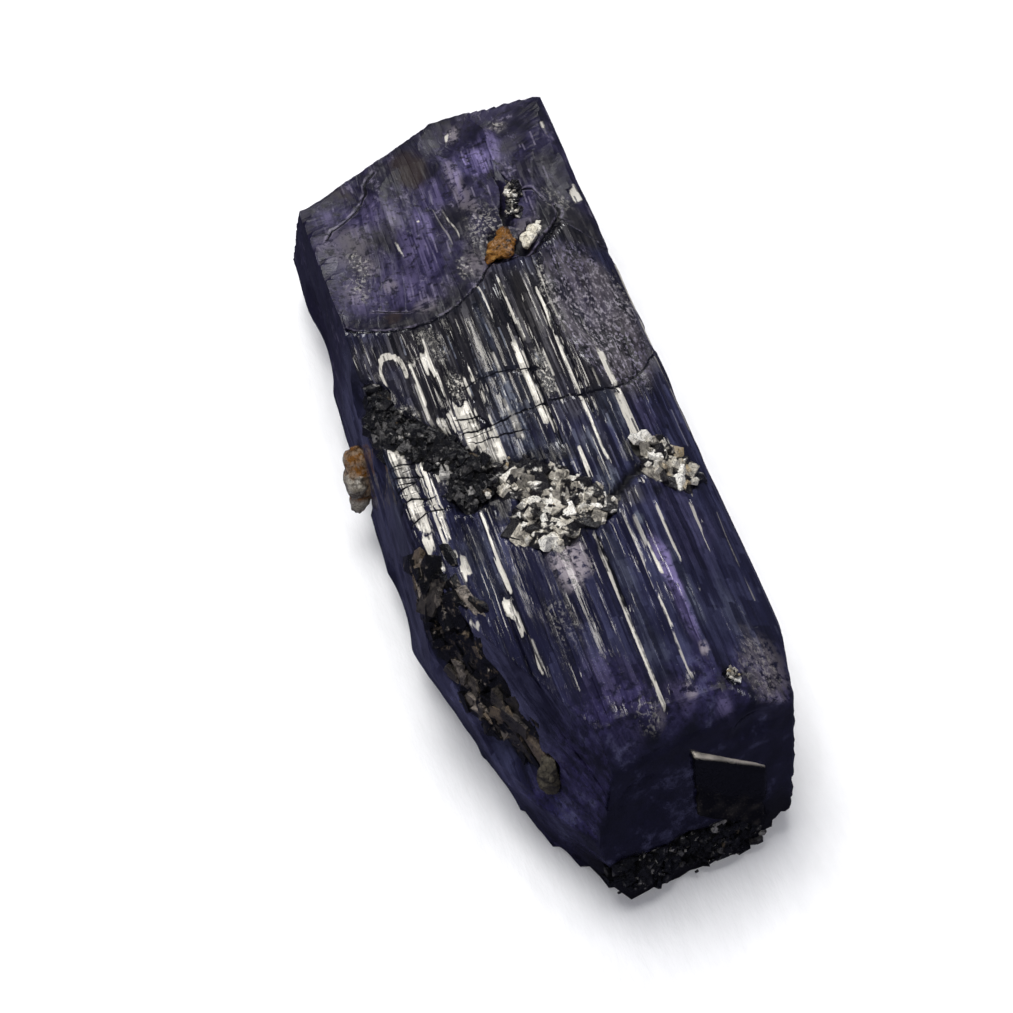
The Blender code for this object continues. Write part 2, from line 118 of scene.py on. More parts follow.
def lineDistance(x, y, points):
    # distance in the plane to a chain of straight runs, and how far along the chain the nearest place is (0..1)
    best = np.full(x.shape, 1e9)
    along = np.zeros(x.shape)
    runs = len(points) - 1
    for index in range(runs):
        ax, ay = points[index]
        bx, by = points[index + 1]
        length2 = (bx - ax) ** 2 + (by - ay) ** 2
        share = np.clip(((x - ax) * (bx - ax) + (y - ay) * (by - ay)) / length2, 0.0, 1.0)
        distance = np.hypot(x - ax - share * (bx - ax), y - ay - share * (by - ay))
        closer = distance < best
        best = np.where(closer, distance, best)
        along = np.where(closer, (index + share) / runs, along)
    return best, along


# Flat faces

crystalFaces = {  # bearing of the normal round Z (0 is -Y, 90 is +X), lift above level, distance in mm
    "topMiddle": (90, 86, 4.70),
    "topLeft": (-90, 79, 4.80),
    "upperLeft": (-90, 40, 6.70),
    "upperRight": (90, 58, 5.60),
    "leftSide": (-92.5, 3, 5.90),
    "rightEdge": (90, 25, 7.10),
    "rightSide": (90, -6, 6.60),
    "lowerLeft": (-93, -40, 6.40),
    "lowerRight": (90, -45, 6.40),
    "underside": (0, -90, 4.70),
    "nearEnd": (8, 10, 15.80),
    "nearBevel": (4, 45, 13.45),
    "nearLeft": (-66, 14, 8.60),
    "nearLeftLow": (-76, -14, 7.70),
    "leftStrip": (-60, -8, 10.40),
    "nearRight": (76, 3, 9.45),
    "brokenSlope": (200, 76, 5.83),
    "brokenLeft": (206, 15, 15.45),
    "brokenRight": (178, 12, 18.10),
}


def faceNormal(bearing, lift):
    turn, rise = math.radians(bearing), math.radians(lift)
    return np.array([math.sin(turn) * math.cos(rise), -math.cos(turn) * math.cos(rise), math.sin(rise)])


def rayReach(start, direction, normals, distances, sharpness):
    # How far a ray goes from inside a solid to its flat faces: the least of the reaches to all the planes,
    # as a power mean, which rounds the edges a little. Also the blend of the normals there.
    slope = direction @ normals.T
    room = distances - start @ normals.T
    reach = np.where(slope > 1e-4, room / np.maximum(slope, 1e-4), 1e4)
    least = reach.min(axis=-1, keepdims=True)
    weight = (least / reach) ** sharpness
    total = weight.sum(axis=-1, keepdims=True)
    blended = (weight / total) @ normals
    blended /= np.linalg.norm(blended, axis=-1, keepdims=True)
    return (least * total ** (-1.0 / sharpness))[..., 0], blended


faceNormals = np.array([faceNormal(bearing, lift) for bearing, lift, _ in crystalFaces.values()])
faceDistances = np.array([distance for _, _, distance in crystalFaces.values()])

# The crystal

crystal = {
    "topColumns": 312, "sideColumns": 34, "bottomColumns": 20,  # grid columns round it
    "middleRows": 142, "nearSideRows": 24, "farSideRows": 17, "endRows": 30,  # grid rows along it and over the ends
    "nearStart": -10.6, "farStart": 14.2, "nearAim": -15.9, "farAim": 17.9,   # where the rays fan out, and to where
    "edgeSharpness": 180.0,
    "coarseWidths": (0.30, 0.95), "coarseHeight": 0.13, "coarseTilt": 2.2,  # growth steps across the faces
    "fineWidths": (0.09, 0.26), "fineHeight": 0.035, "fineTilt": 2.0,
    "stripeKnots": 11, "flashWidths": (0.08, 0.22), "flashLengths": (0.5, 3.6),
    "breakDrop": 0.14,
    "mirrorLean": 0.061,  # slope that sends the main light straight to the camera
}

crackLine = [(-8.5, 8.6), (-6.2, 7.3), (-5.2, 6.25), (-4.4, 5.85), (-3.6, 5.6), (-2.9, 5.4), (-2.2, 5.35), (-1.5, 5.5), (-0.8, 5.8),
             (-0.2, 6.2), (0.3, 6.6), (0.8, 7.1), (1.3, 7.6), (2.2, 7.5), (3.2, 7.5), (4.0, 8.4), (5.0, 9.6), (6.4, 8.7), (8.5, 6.6)]
creamMarksAndGlints = [  # pale steps and patches, partly the crystal's own pale films and grains and partly painted highlights where the striations catch the light: x from, x to, y from, y to, strength, how broken up
    (-5.42, -4.98, -3.7, 0.75, 1.0, 0.15), (-5.40, -5.05, -5.0, -4.2, 0.8, 0.5), (-5.25, -4.95, -5.75, -5.2, 0.8, 0.5),
    (-4.72, -4.62, -5.0, -0.8, 0.8, 0.3), (-4.52, -4.38, -4.9, -0.8, 0.95, 0.25), (-4.32, -4.24, -3.9, -1.6, 0.6, 0.5),
    (-4.05, -3.97, -2.1, -1.4, 0.8, 0.3), (-3.50, -3.40, 1.5, 3.6, 0.8, 0.2), (-2.67, -2.57, -0.2, 4.7, 0.85, 0.25),
    (-2.98, -2.68, 2.9, 3.9, 0.8, 0.5), (-2.48, -1.92, -1.25, 0.95, 1.0, 0.35), (-3.3, -2.75, -0.1, 0.8, 0.9, 0.6),
    (-1.80, -1.68, -2.3, -0.6, 0.9, 0.25), (-1.80, -1.72, -0.1, 0.7, 0.7, 0.3), (-1.58, -1.28, -2.5, -0.6, 1.0, 0.35),
    (-1.72, -1.62, 1.2, 2.4, 0.7, 0.5), (-1.42, -1.32, 1.9, 2.6, 0.9, 0.3), (-1.28, -1.20, 0.7, 1.3, 0.7, 0.4),
    (-1.32, -1.26, -0.4, 0.1, 0.8, 0.3), (0.62, 0.84, -0.9, 3.05, 1.0, 0.18), (0.91, 0.98, -1.3, 2.6, 0.8, 0.35),
    (0.74, 0.82, 3.0, 4.2, 0.5, 0.6), (1.14, 1.20, 4.1, 6.5, 0.75, 0.35), (1.64, 1.72, -0.1, 0.7, 0.8, 0.3),
    (1.76, 1.80, 1.2, 2.6, 0.5, 0.6), (2.44, 2.56, -3.5, 5.6, 0.85, 0.30), (3.86, 4.16, -3.3, 0.1, 1.0, 0.12),
    (3.92, 4.18, 0.1, 2.2, 0.75, 0.40), (4.02, 4.10, 2.2, 4.3, 0.4, 0.7), (1.48, 1.62, -3.9, -2.4, 0.9, 0.3),
    (2.05, 2.12, -5.2, -3.0, 0.4, 0.6), (0.66, 0.82, -14.8, -6.4, 0.55, 0.45), (0.66, 0.78, -12.8, -11.0, 0.9, 0.2),
    (2.08, 2.20, -13.6, -5.3, 0.5, 0.5), (2.10, 2.22, -11.4, -9.6, 0.6, 0.3), (2.60, 2.70, -8.8, -7.3, 0.95, 0.2),
    (3.50, 3.62, -8.3, -5.6, 0.55, 0.4), (3.42, 3.54, -4.9, -4.6, 0.8, 0.4), (-3.04, -2.95, -7.75, -3.9, 0.85, 0.15),
    (-3.12, -2.94, -7.7, -6.3, 0.9, 0.2), (-3.46, -3.10, -9.0, -8.25, 1.0, 0.1), (-3.26, -3.12, -9.7, -9.0, 0.8, 0.2),
    (-4.48, -4.16, -6.55, -5.65, 0.9, 0.55), (-4.56, -4.36, -5.45, -5.0, 0.7, 0.5), (-4.95, -4.50, -8.8, -8.3, 0.5, 0.6),
    (-2.52, -2.46, -8.4, -6.5, 0.35, 0.5), (-3.10, -2.95, -11.5, -8.7, 0.5, 0.5), (-2.92, -2.84, -11.9, -10.0, 0.45, 0.5),
    (5.02, 5.18, -8.0, -5.3, 0.5, 0.5), (6.06, 6.26, -10.3, -3.0, 0.42, 0.5), (6.05, 6.15, -3.0, 0.6, 0.4, 0.4),
    (5.55, 5.66, -9.0, -3.4, 0.3, 0.6), (6.62, 6.86, 2.8, 7.6, 0.7, 0.45), (6.34, 6.60, 11.0, 11.9, 1.0, 0.4),
    (6.20, 6.50, 14.9, 15.9, 0.9, 0.4), (6.45, 6.62, -2.5, 2.8, 0.45, 0.5), (5.45, 5.80, -14.6, -11.5, 0.25, 0.7),
    (-0.33, -0.25, 3.6, 6.2, 0.35, 0.5), (0.26, 0.34, 4.6, 6.6, 0.55, 0.3), (0.18, 0.26, 9.4, 12.6, 0.4, 0.3),
    (0.60, 0.70, 9.6, 12.1, 0.5, 0.3), (1.52, 1.72, 12.4, 16.2, 0.28, 0.4), (4.40, 4.86, 11.9, 13.3, 0.0, 0.2),
    (2.45, 2.75, 17.1, 17.5, 0.7, 0.4), (-2.30, -2.05, 10.1, 11.1, 0.5, 0.6), (-0.80, -0.62, 11.9, 12.1, 0.7, 0.2),
    (2.86, 2.96, 3.6, 7.3, 0.45, 0.5), (-5.05, -4.85, 2.4, 3.0, 0.5, 0.6), (0.05, 0.45, -14.9, -14.6, 0.5, 0.6),
]
lacePatches = [  # crumbly pale lace over a dark ground: x, y, half width, half length, strength
    (-4.30, 1.40, 0.42, 0.72, 1.0), (-2.10, 1.85, 0.36, 0.75, 0.9), (1.45, 1.30, 0.32, 1.30, 0.8), (3.05, 5.2, 0.28, 1.9, 0.55),
    (2.0, 9.7, 1.1, 1.9, 0.45), (-4.7, 2.6, 0.28, 0.55, 0.5), (-3.3, 3.7, 0.34, 0.28, 0.5), (-2.2, 4.0, 0.35, 0.75, 0.45),
    (-2.6, 4.7, 0.3, 0.45, 0.4), (-2.9, -2.6, 1.2, 1.3, 0.8), (5.4, 10.9, 0.6, 0.8, 0.4), (-4.6, 9.1, 0.5, 1.0, 0.35),
    (-4.2, 10.4, 0.45, 0.8, 0.45), (0.2, 7.9, 0.35, 0.9, 0.5), (4.6, 16.5, 0.35, 0.5, 0.5), (4.3, 3.9, 1.5, 2.7, 0.30),
    (5.9, 5.2, 0.8, 2.0, 0.28), (-1.6, -9.9, 0.7, 1.1, 0.15), (0.1, -14.6, 0.5, 0.5, 0.3), (5.0, -13.5, 0.8, 1.6, 0.2),
]
blueReflectionPatches = [  # steps painted steel blue as painted reflections on the striations: x, y, half width, half length, strength
    (-0.30, 0.2, 0.36, 2.9, 1.0), (-0.75, 0.0, 0.55, 2.9, 0.55), (0.35, 0.5, 0.28, 3.0, 0.55), (-0.15, 4.0, 0.22, 1.6, 0.75),
    (0.28, 5.8, 0.12, 1.3, 0.8), (-5.62, -1.0, 0.16, 2.2, 1.0), (3.4, -1.2, 0.42, 1.2, 0.7), (2.2, -4.3, 0.55, 0.9, 0.9),
    (1.2, -8.2, 0.40, 2.4, 0.35), (3.4, -9.6, 0.22, 2.0, 0.35), (1.2, -12.0, 0.4, 2.2, 0.3), (2.75, -6.2, 0.2, 0.3, 0.9),
    (-3.4, -6.4, 0.7, 2.0, 0.35), (2.1, -2.7, 0.35, 1.0, 0.4), (0.9, -2.6, 0.5, 1.0, 0.3), (5.0, -11.5, 0.5, 2.4, 0.2),
]
violetPatches = [
    (2.95, -8.7, 0.34, 1.6, 1.0), (2.9, -10.8, 0.28, 1.5, 0.65), (3.0, -15.0, 0.35, 0.45, 0.9), (2.9, 14.5, 1.35, 1.15, 1.0),
    (1.7, 14.3, 0.30, 1.9, 0.8), (-0.45, 11.3, 0.38, 1.6, 0.65), (-3.6, 8.5, 1.9, 1.6, 0.35), (-1.2, 10.3, 1.0, 2.2, 0.35),
    (-2.8, 13.0, 1.6, 1.5, 0.30), (-4.2, 13.6, 0.8, 0.7, 0.35), (0.6, 13.4, 0.9, 1.0, 0.40), (-0.8, -13.2, 1.2, 1.7, 0.22),
    (-0.9, -15.0, 0.7, 0.5, 0.35), (4.0, 15.3, 0.5, 1.3, 0.6), (3.4, 11.2, 0.9, 1.4, 0.25), (4.6, 5.0, 1.2, 2.2, 0.15),
    (4.8, -1.0, 0.7, 1.0, 0.15), (-2.0, 7.4, 1.1, 1.0, 0.25), (4.5, -6.5, 1.2, 2.4, 0.10), (1.4, -14.2, 0.6, 0.8, 0.25),
]
lilacPatches = [  # frosted, pinkish pale: x, y, half width, half length, strength
    (-0.55, -7.4, 0.75, 1.25, 1.0), (-4.2, 11.6, 1.0, 1.7, 0.20), (-4.0, 10.2, 0.5, 0.8, 0.30), (1.75, 12.9, 0.35, 2.4, 0.35),
    (0.6, 7.9, 0.6, 0.9, 0.35), (-2.1, 6.4, 0.5, 0.5, 0.3), (3.05, -12.5, 0.22, 0.3, 0.8), (1.9, -14.1, 0.25, 0.3, 0.5),
    (5.2, -13.6, 0.9, 1.7, 0.30), (2.75, 17.2, 0.35, 0.4, 0.6), (4.7, 16.5, 0.35, 0.4, 0.5), (0.5, -14.7, 0.3, 0.3, 0.4),
    (3.5, 9.2, 0.5, 0.8, 0.25), (-4.8, 8.6, 0.5, 0.7, 0.3), (-3.3, 8.6, 0.3, 0.5, 0.4),
]
charcoalFields = [(0.5, 3.2, 7.5, 4.6, 0.85), (-3.4, -0.6, 2.6, 2.6, 0.6)]
charcoalPatches = [
    (-2.6, 4.6, 2.6, 1.6, 0.8), (1.85, 4.6, 0.75, 2.6, 1.0), (-4.6, 4.4, 1.3, 1.7, 0.6), (0.9, 11.0, 0.6, 1.7, 0.8),
    (5.4, 9.4, 1.6, 1.6, 1.0), (-3.0, 11.8, 1.0, 0.9, 0.6), (-1.9, 12.2, 0.7, 0.9, 0.5), (1.0, 8.7, 0.7, 1.2, 0.7), (4.6, 3.6, 2.2, 3.4, 0.45),
    (2.0, 0.6, 0.9, 2.2, 0.6), (-1.4, 7.0, 0.8, 1.0, 0.6), (-1.4, 15.9, 0.5, 0.5, 0.5), (2.3, -2.6, 0.7, 1.6, 0.35), (-3.4, 2.4, 1.0, 1.2, 0.5),
    (5.6, 12.6, 0.9, 1.4, 0.5), (4.8, -14.0, 0.7, 1.1, 0.5), (3.4, -14.3, 0.45, 0.6, 0.9), (2.6, -5.0, 0.7, 0.6, 0.6),
]
brownPatches = [
    (-3.55, 6.40, 0.42, 0.50, 1.0), (0.0, 15.5, 0.85, 1.35, 0.9), (5.0, 6.2, 1.0, 1.3, 0.22), (5.7, 3.4, 0.8, 1.4, 0.22),
    (-3.4, 15.2, 0.5, 0.5, 0.4), (4.5, 1.3, 0.5, 0.7, 0.18), (-2.6, 2.9, 0.4, 0.8, 0.12),
]
blackPatches = [  # black and glassy
    (-5.1, 1.65, 0.50, 0.90, 1.0), (-4.55, 0.95, 0.35, 0.45, 0.9), (-5.0, 3.4, 0.35, 0.60, 0.8), (-3.0, -2.0, 1.0, 1.2, 0.6),
    (-3.9, -5.0, 0.45, 1.2, 0.5), (-0.2, -2.6, 1.6, 0.5, 0.8), (-2.3, -3.9, 0.5, 0.9, 0.8), (0.2, -6.1, 1.4, 0.35, 0.6),
    (3.75, -13.75, 0.35, 0.45, 0.9), (3.9, -4.9, 0.30, 0.5, 0.8), (3.4, -3.2, 0.35, 0.8, 0.7),
]
leftBlackPatches = [(1.9, 7.4, 1.6, 1.5, 1.0), (4.4, 7.0, 1.0, 1.2, 0.8), (-4.4, 7.4, 1.2, 1.2, 0.7)]  # seen from the left: y, z
leftBluePatches = [(-1.6, 7.6, 2.0, 0.9, 0.9), (5.6, 7.6, 1.0, 0.8, 0.5), (-3.2, 6.4, 1.6, 0.7, 0.6)]
shellBreaks = {  # hollows left by shell-shaped breaks: side, place there, depth, half axes along, across and inwards
    "breakLeft": ("top", -3.3, 9.2, 0.42, 4.4, 5.0, 1.8), "breakMiddle": ("top", 0.0, 13.0, 0.30, 3.4, 4.6, 1.6),
    "breakRight": ("top", 4.9, 12.9, 0.32, 2.6, 4.2, 1.4), "roughMiddle": ("top", 4.3, 4.3, 0.16, 2.7, 4.2, 1.3),
    "breakFarLeft": ("top", -3.4, 14.0, 0.28, 2.4, 2.4, 1.2), "breakFar": ("top", 2.4, 16.4, 0.26, 2.4, 2.2, 1.0),
    "leftOne": ("left", 2.7, 7.6, 0.50, 1.5, 1.7, 0.9), "leftTwo": ("left", 0.9, 6.6, 0.42, 1.3, 1.6, 0.9),
    "leftThree": ("left", 4.6, 6.8, 0.36, 1.2, 1.4, 0.8), "seamOne": ("left", -7.6, 7.2, 0.55, 1.8, 1.9, 1.1),
    "seamTwo": ("left", -9.8, 6.4, 0.50, 1.7, 1.6, 1.1), "seamThree": ("left", -12.0, 4.8, 0.40, 1.8, 1.6, 1.0),
    "leftFar": ("left", 10.5, 3.2, 0.42, 3.6, 2.4, 1.2), "leftLow": ("left", -3.0, 2.6, 0.32, 3.2, 1.9, 1.1),
    "rightFar": ("right", 12.5, 4.4, 0.42, 3.6, 2.6, 1.2), "rightNear": ("right", -8.2, 2.8, 0.32, 3.0, 1.8, 1.1),
    "rightLow": ("right", 1.0, 1.9, 0.28, 2.8, 1.4, 1.0),
    "farOne": ("far", -3.4, 3.6, 0.80, 4.4, 4.2, 3.4), "farTwo": ("far", 1.6, 2.4, 0.65, 4.6, 3.4, 3.2),
    "farThree": ("far", 4.8, 4.6, 0.50, 3.2, 4.0, 2.8), "farFour": ("far", -0.6, 5.4, 0.36, 3.4, 2.0, 2.0),
    "nearOne": ("near", -0.5, 5.6, 0.26, 1.8, 2.4, 1.0), "nearTwo": ("near", 1.2, 1.5, 0.42, 1.8, 1.3, 1.0),
    "nearThree": ("near", 3.9, 1.6, 0.38, 1.3, 1.4, 1.0), "nearFour": ("near", 4.2, 7.4, 0.20, 1.5, 1.2, 0.8),
}
cracks = [  # thin dark cracks over the top: points, width, depth
    ([(-5.95, -1.9), (-5.4, -1.75), (-4.9, -1.6)], 0.05, 0.08), ([(-5.8, -1.1), (-5.2, -1.25), (-4.7, -1.5)], 0.05, 0.08),
    ([(-5.9, -0.7), (-5.3, -0.65), (-4.9, -0.75)], 0.05, 0.08), ([(-5.8, -2.5), (-5.3, -2.3), (-4.5, -2.6)], 0.05, 0.08),
    ([(-5.6, -3.5), (-4.9, -3.1), (-4.1, -3.3)], 0.04, 0.06),
    ([(1.5, -5.5), (2.0, -5.1), (2.6, -4.6), (3.2, -4.2), (4.1, -3.7)], 0.22, 0.26),
    ([(-2.5, -0.35), (-1.2, -0.40), (-0.1, -0.22), (0.9, 0.0), (2.4, 0.05), (3.4, -0.02), (4.2, 0.28)], 0.055, 0.07),
    ([(4.2, 0.28), (4.9, 0.75), (5.8, 1.5), (6.6, 2.5)], 0.05, 0.05), ([(-1.8, 1.65), (-0.8, 1.9), (0.2, 1.85), (1.4, 1.6)], 0.04, 0.05),
    ([(-2.2, -0.95), (-1.0, -1.05), (-0.2, -1.12)], 0.04, 0.05), ([(-2.4, 0.3), (-1.7, 0.2), (-1.4, -0.3)], 0.05, 0.06),
    ([(2.6, 9.5), (3.2, 11.2), (3.5, 12.9)], 0.10, 0.12), ([(4.9, 11.0), (4.6, 12.2), (4.4, 13.4)], 0.05, 0.08),
    ([(3.9, 8.2), (4.4, 8.9), (4.9, 9.4), (5.3, 10.6)], 0.08, 0.12), ([(-4.3, 7.1), (-3.5, 6.8), (-2.8, 6.35)], 0.035, 0.04),
    ([(1.05, -2.0), (1.06, 1.0), (1.08, 4.0), (1.10, 6.2)], 0.045, 0.06), ([(2.70, -1.0), (2.72, 5.2)], 0.06, 0.06),
    ([(-4.85, 12.3), (-3.9, 13.4), (-2.6, 14.6), (-1.6, 15.9)], 0.06, 0.06), ([(0.85, -10.0), (0.86, -6.6)], 0.06, 0.05),
]


def referenceLoop():
    # the corners of a box-like loop round the crystal that the rays are aimed at, evenly spaced on each side
    left, right, bottom, top = -6.25, 6.75, 0.35, 8.75
    count = crystal
    across = np.linspace(left, right, count["topColumns"], endpoint=False)
    down = np.linspace(top, bottom, count["sideColumns"], endpoint=False)
    back = np.linspace(right, left, count["bottomColumns"], endpoint=False)
    up = np.linspace(bottom, top, count["sideColumns"], endpoint=False)
    x = np.concatenate([across, np.full(down.shape, right), back, np.full(up.shape, left)])
    z = np.concatenate([np.full(across.shape, top), down, np.full(back.shape, bottom), up])
    return np.stack([x, np.zeros_like(x), z - axisPoint[2]], axis=-1)


def crystalRays():
    # Rows of rays aimed at a loop that moves along the crystal: straight out along the middle, then from a fixed
    # point near each end at the loop on its way to the end face, and at ever smaller loops on that face.
    loop = referenceLoop()
    size = crystal
    near, far = size["nearStart"], size["farStart"]
    nearSide = np.linspace(size["nearAim"], near, size["nearSideRows"], endpoint=False)
    farSide = np.linspace(size["farAim"], far, size["farSideRows"], endpoint=False)[::-1]
    shrink = np.linspace(0.05, 1.0, size["endRows"], endpoint=False)
    starts = np.concatenate([
        np.full(size["endRows"] + len(nearSide), near), np.linspace(near, far, size["middleRows"]),
        np.full(size["endRows"] + len(farSide), far),
    ])
    aims = np.concatenate([
        np.full(size["endRows"], size["nearAim"]), nearSide, np.linspace(near, far, size["middleRows"]), farSide,
        np.full(size["endRows"], size["farAim"]),
    ])
    shares = np.concatenate([shrink, np.ones(len(nearSide) + size["middleRows"] + len(farSide)), shrink[::-1]])
    direction = loop[None] * shares[:, None, None]
    direction[..., 1] = (aims - starts)[:, None]
    direction /= np.linalg.norm(direction, axis=-1, keepdims=True)
    start = np.zeros(direction.shape)
    start[..., 1] = starts[:, None]
    return start, direction


def stripeField(s, y, widths, height, tilt, dice):
    # Long flat steps: across the face each one has its own width, lean and level, and the level drifts
    # slowly along it between a few random values.
    edges = [-26.0]
    while edges[-1] < 30.0:
        edges.append(edges[-1] + dice.uniform(*widths))
    edges = np.array(edges)
    levels = dice.random((len(edges), crystal["stripeKnots"])) ** 1.6
    leans = np.tan(np.radians(dice.uniform(-tilt, tilt, len(edges))))
    index = np.clip(np.searchsorted(edges, s) - 1, 0, len(edges) - 2)
    middle = (edges[index] + edges[index + 1]) / 2
    shift = dice.uniform(0.0, 3.4, len(edges))[index]
    reach = np.clip((y + 18.0 + shift) / 42.0, 0, 0.999) * (crystal["stripeKnots"] - 1)
    low = reach.astype(int)
    share = smoothStep(0.25, 0.75, reach - low)
    level = levels[index, low] * (1 - share) + levels[index, low + 1] * share
    return -height * level + (s - middle) * leans[index]


def flashFacets(s, y, chance, dice):
    # Narrow steps that lean straight at the main light, each for a stretch of its own: where they are, and how
    # far a point is from the middle of its step
    edges = [-26.0]
    while edges[-1] < 30.0:
        edges.append(edges[-1] + dice.uniform(*crystal["flashWidths"]))
    edges = np.array(edges)
    index = np.clip(np.searchsorted(edges, s) - 1, 0, len(edges) - 2)
    lengths = dice.uniform(*crystal["flashLengths"], len(edges))
    shifts = dice.uniform(0, 9, len(edges))
    stretch = np.floor((y + shifts[index]) / lengths[index]).astype(np.int64)
    draw = cellHash(np.stack([index, stretch, stretch * 0], axis=-1), 17)
    return (draw < chance).astype(float), s - (edges[index] + edges[index + 1]) / 2


def sideFrame(side):
    # the two coordinates seen from a side, and the way out of it
    return {"top": (0, 1, 2, 1), "left": (1, 2, 0, -1), "right": (1, 2, 0, 1), "near": (0, 2, 1, -1), "far": (0, 2, 1, 1)}[side]


def shellDepth(points, normals):
    # how deep the balls of the shell breaks reach under the flat skin, as seen from the side of each
    depth = np.zeros(points.shape[:-1])
    for side, first, second, sunk, halfA, halfB, halfIn in shellBreaks.values():
        a, b, out, sign = sideFrame(side)
        facing = smoothStep(0.15, 0.45, normals[..., out] * sign)
        wobble = 0.10 * smoothNoise(points, 1.1, 71)
        rho2 = ((points[..., a] - first) / halfA) ** 2 + ((points[..., b] - second) / halfB) ** 2 + wobble * 0.35
        reach = halfIn * np.sqrt(np.clip(1.0 - rho2, 0.0, 1.0)) - (halfIn - sunk)
        depth = np.maximum(depth, facing * np.clip(reach, 0.0, None))
    return depth


def paintPatches(patches, points, topward, ragged=0.5):
    # soft ragged ovals on the upper faces, the strongest one where several overlap
    mask = np.zeros(points.shape[:-1])
    wander = ragged * layeredNoise(points, 1.1, 4, 61)
    for px, py, halfX, halfY, strength in patches:
        rho = np.hypot((points[..., 0] - px) / halfX, (points[..., 1] - py) / halfY) + wander
        mask = np.maximum(mask, strength * smoothStep(1.25, 0.55, rho) * topward)
    return mask


def paintMarks(marks, x, y, topward):
    # narrow blocks along Y with ragged ends, broken up by noise drawn out along them; also how far across its
    # block each point lies
    mask = np.zeros(x.shape)
    offset = np.zeros(x.shape)
    grid = np.stack([x * 9.0, y * 1.0, np.zeros_like(x)], axis=-1)
    for number, (x0, x1, y0, y1, strength, broken) in enumerate(marks):
        middle, half = (x0 + x1) / 2, max((x1 - x0) / 2, 0.045)
        sway = 0.025 * smoothNoise(np.stack([x * 0, y, x * 0 + number], axis=-1), 0.9, 43)
        across = np.abs(x - middle - sway) / half
        ends = 0.35 * smoothNoise(grid + number * 3.7, 1.0, 44)
        inside = smoothStep(1.35, 0.85, across) * smoothStep(y0 - 0.10, y0 + 0.10, y + ends) * smoothStep(y1 + 0.10, y1 - 0.10, y + ends)
        breaks = smoothStep(-0.55 + 1.1 * broken - 0.2, -0.55 + 1.1 * broken + 0.2, layeredNoise(grid + number * 5.1, 1.2, 2, 45) + 0.25)
        value = inside * strength * breaks * topward
        offset = np.where(value > mask, x - middle, offset)
        mask = np.maximum(mask, value)
    return mask, offset


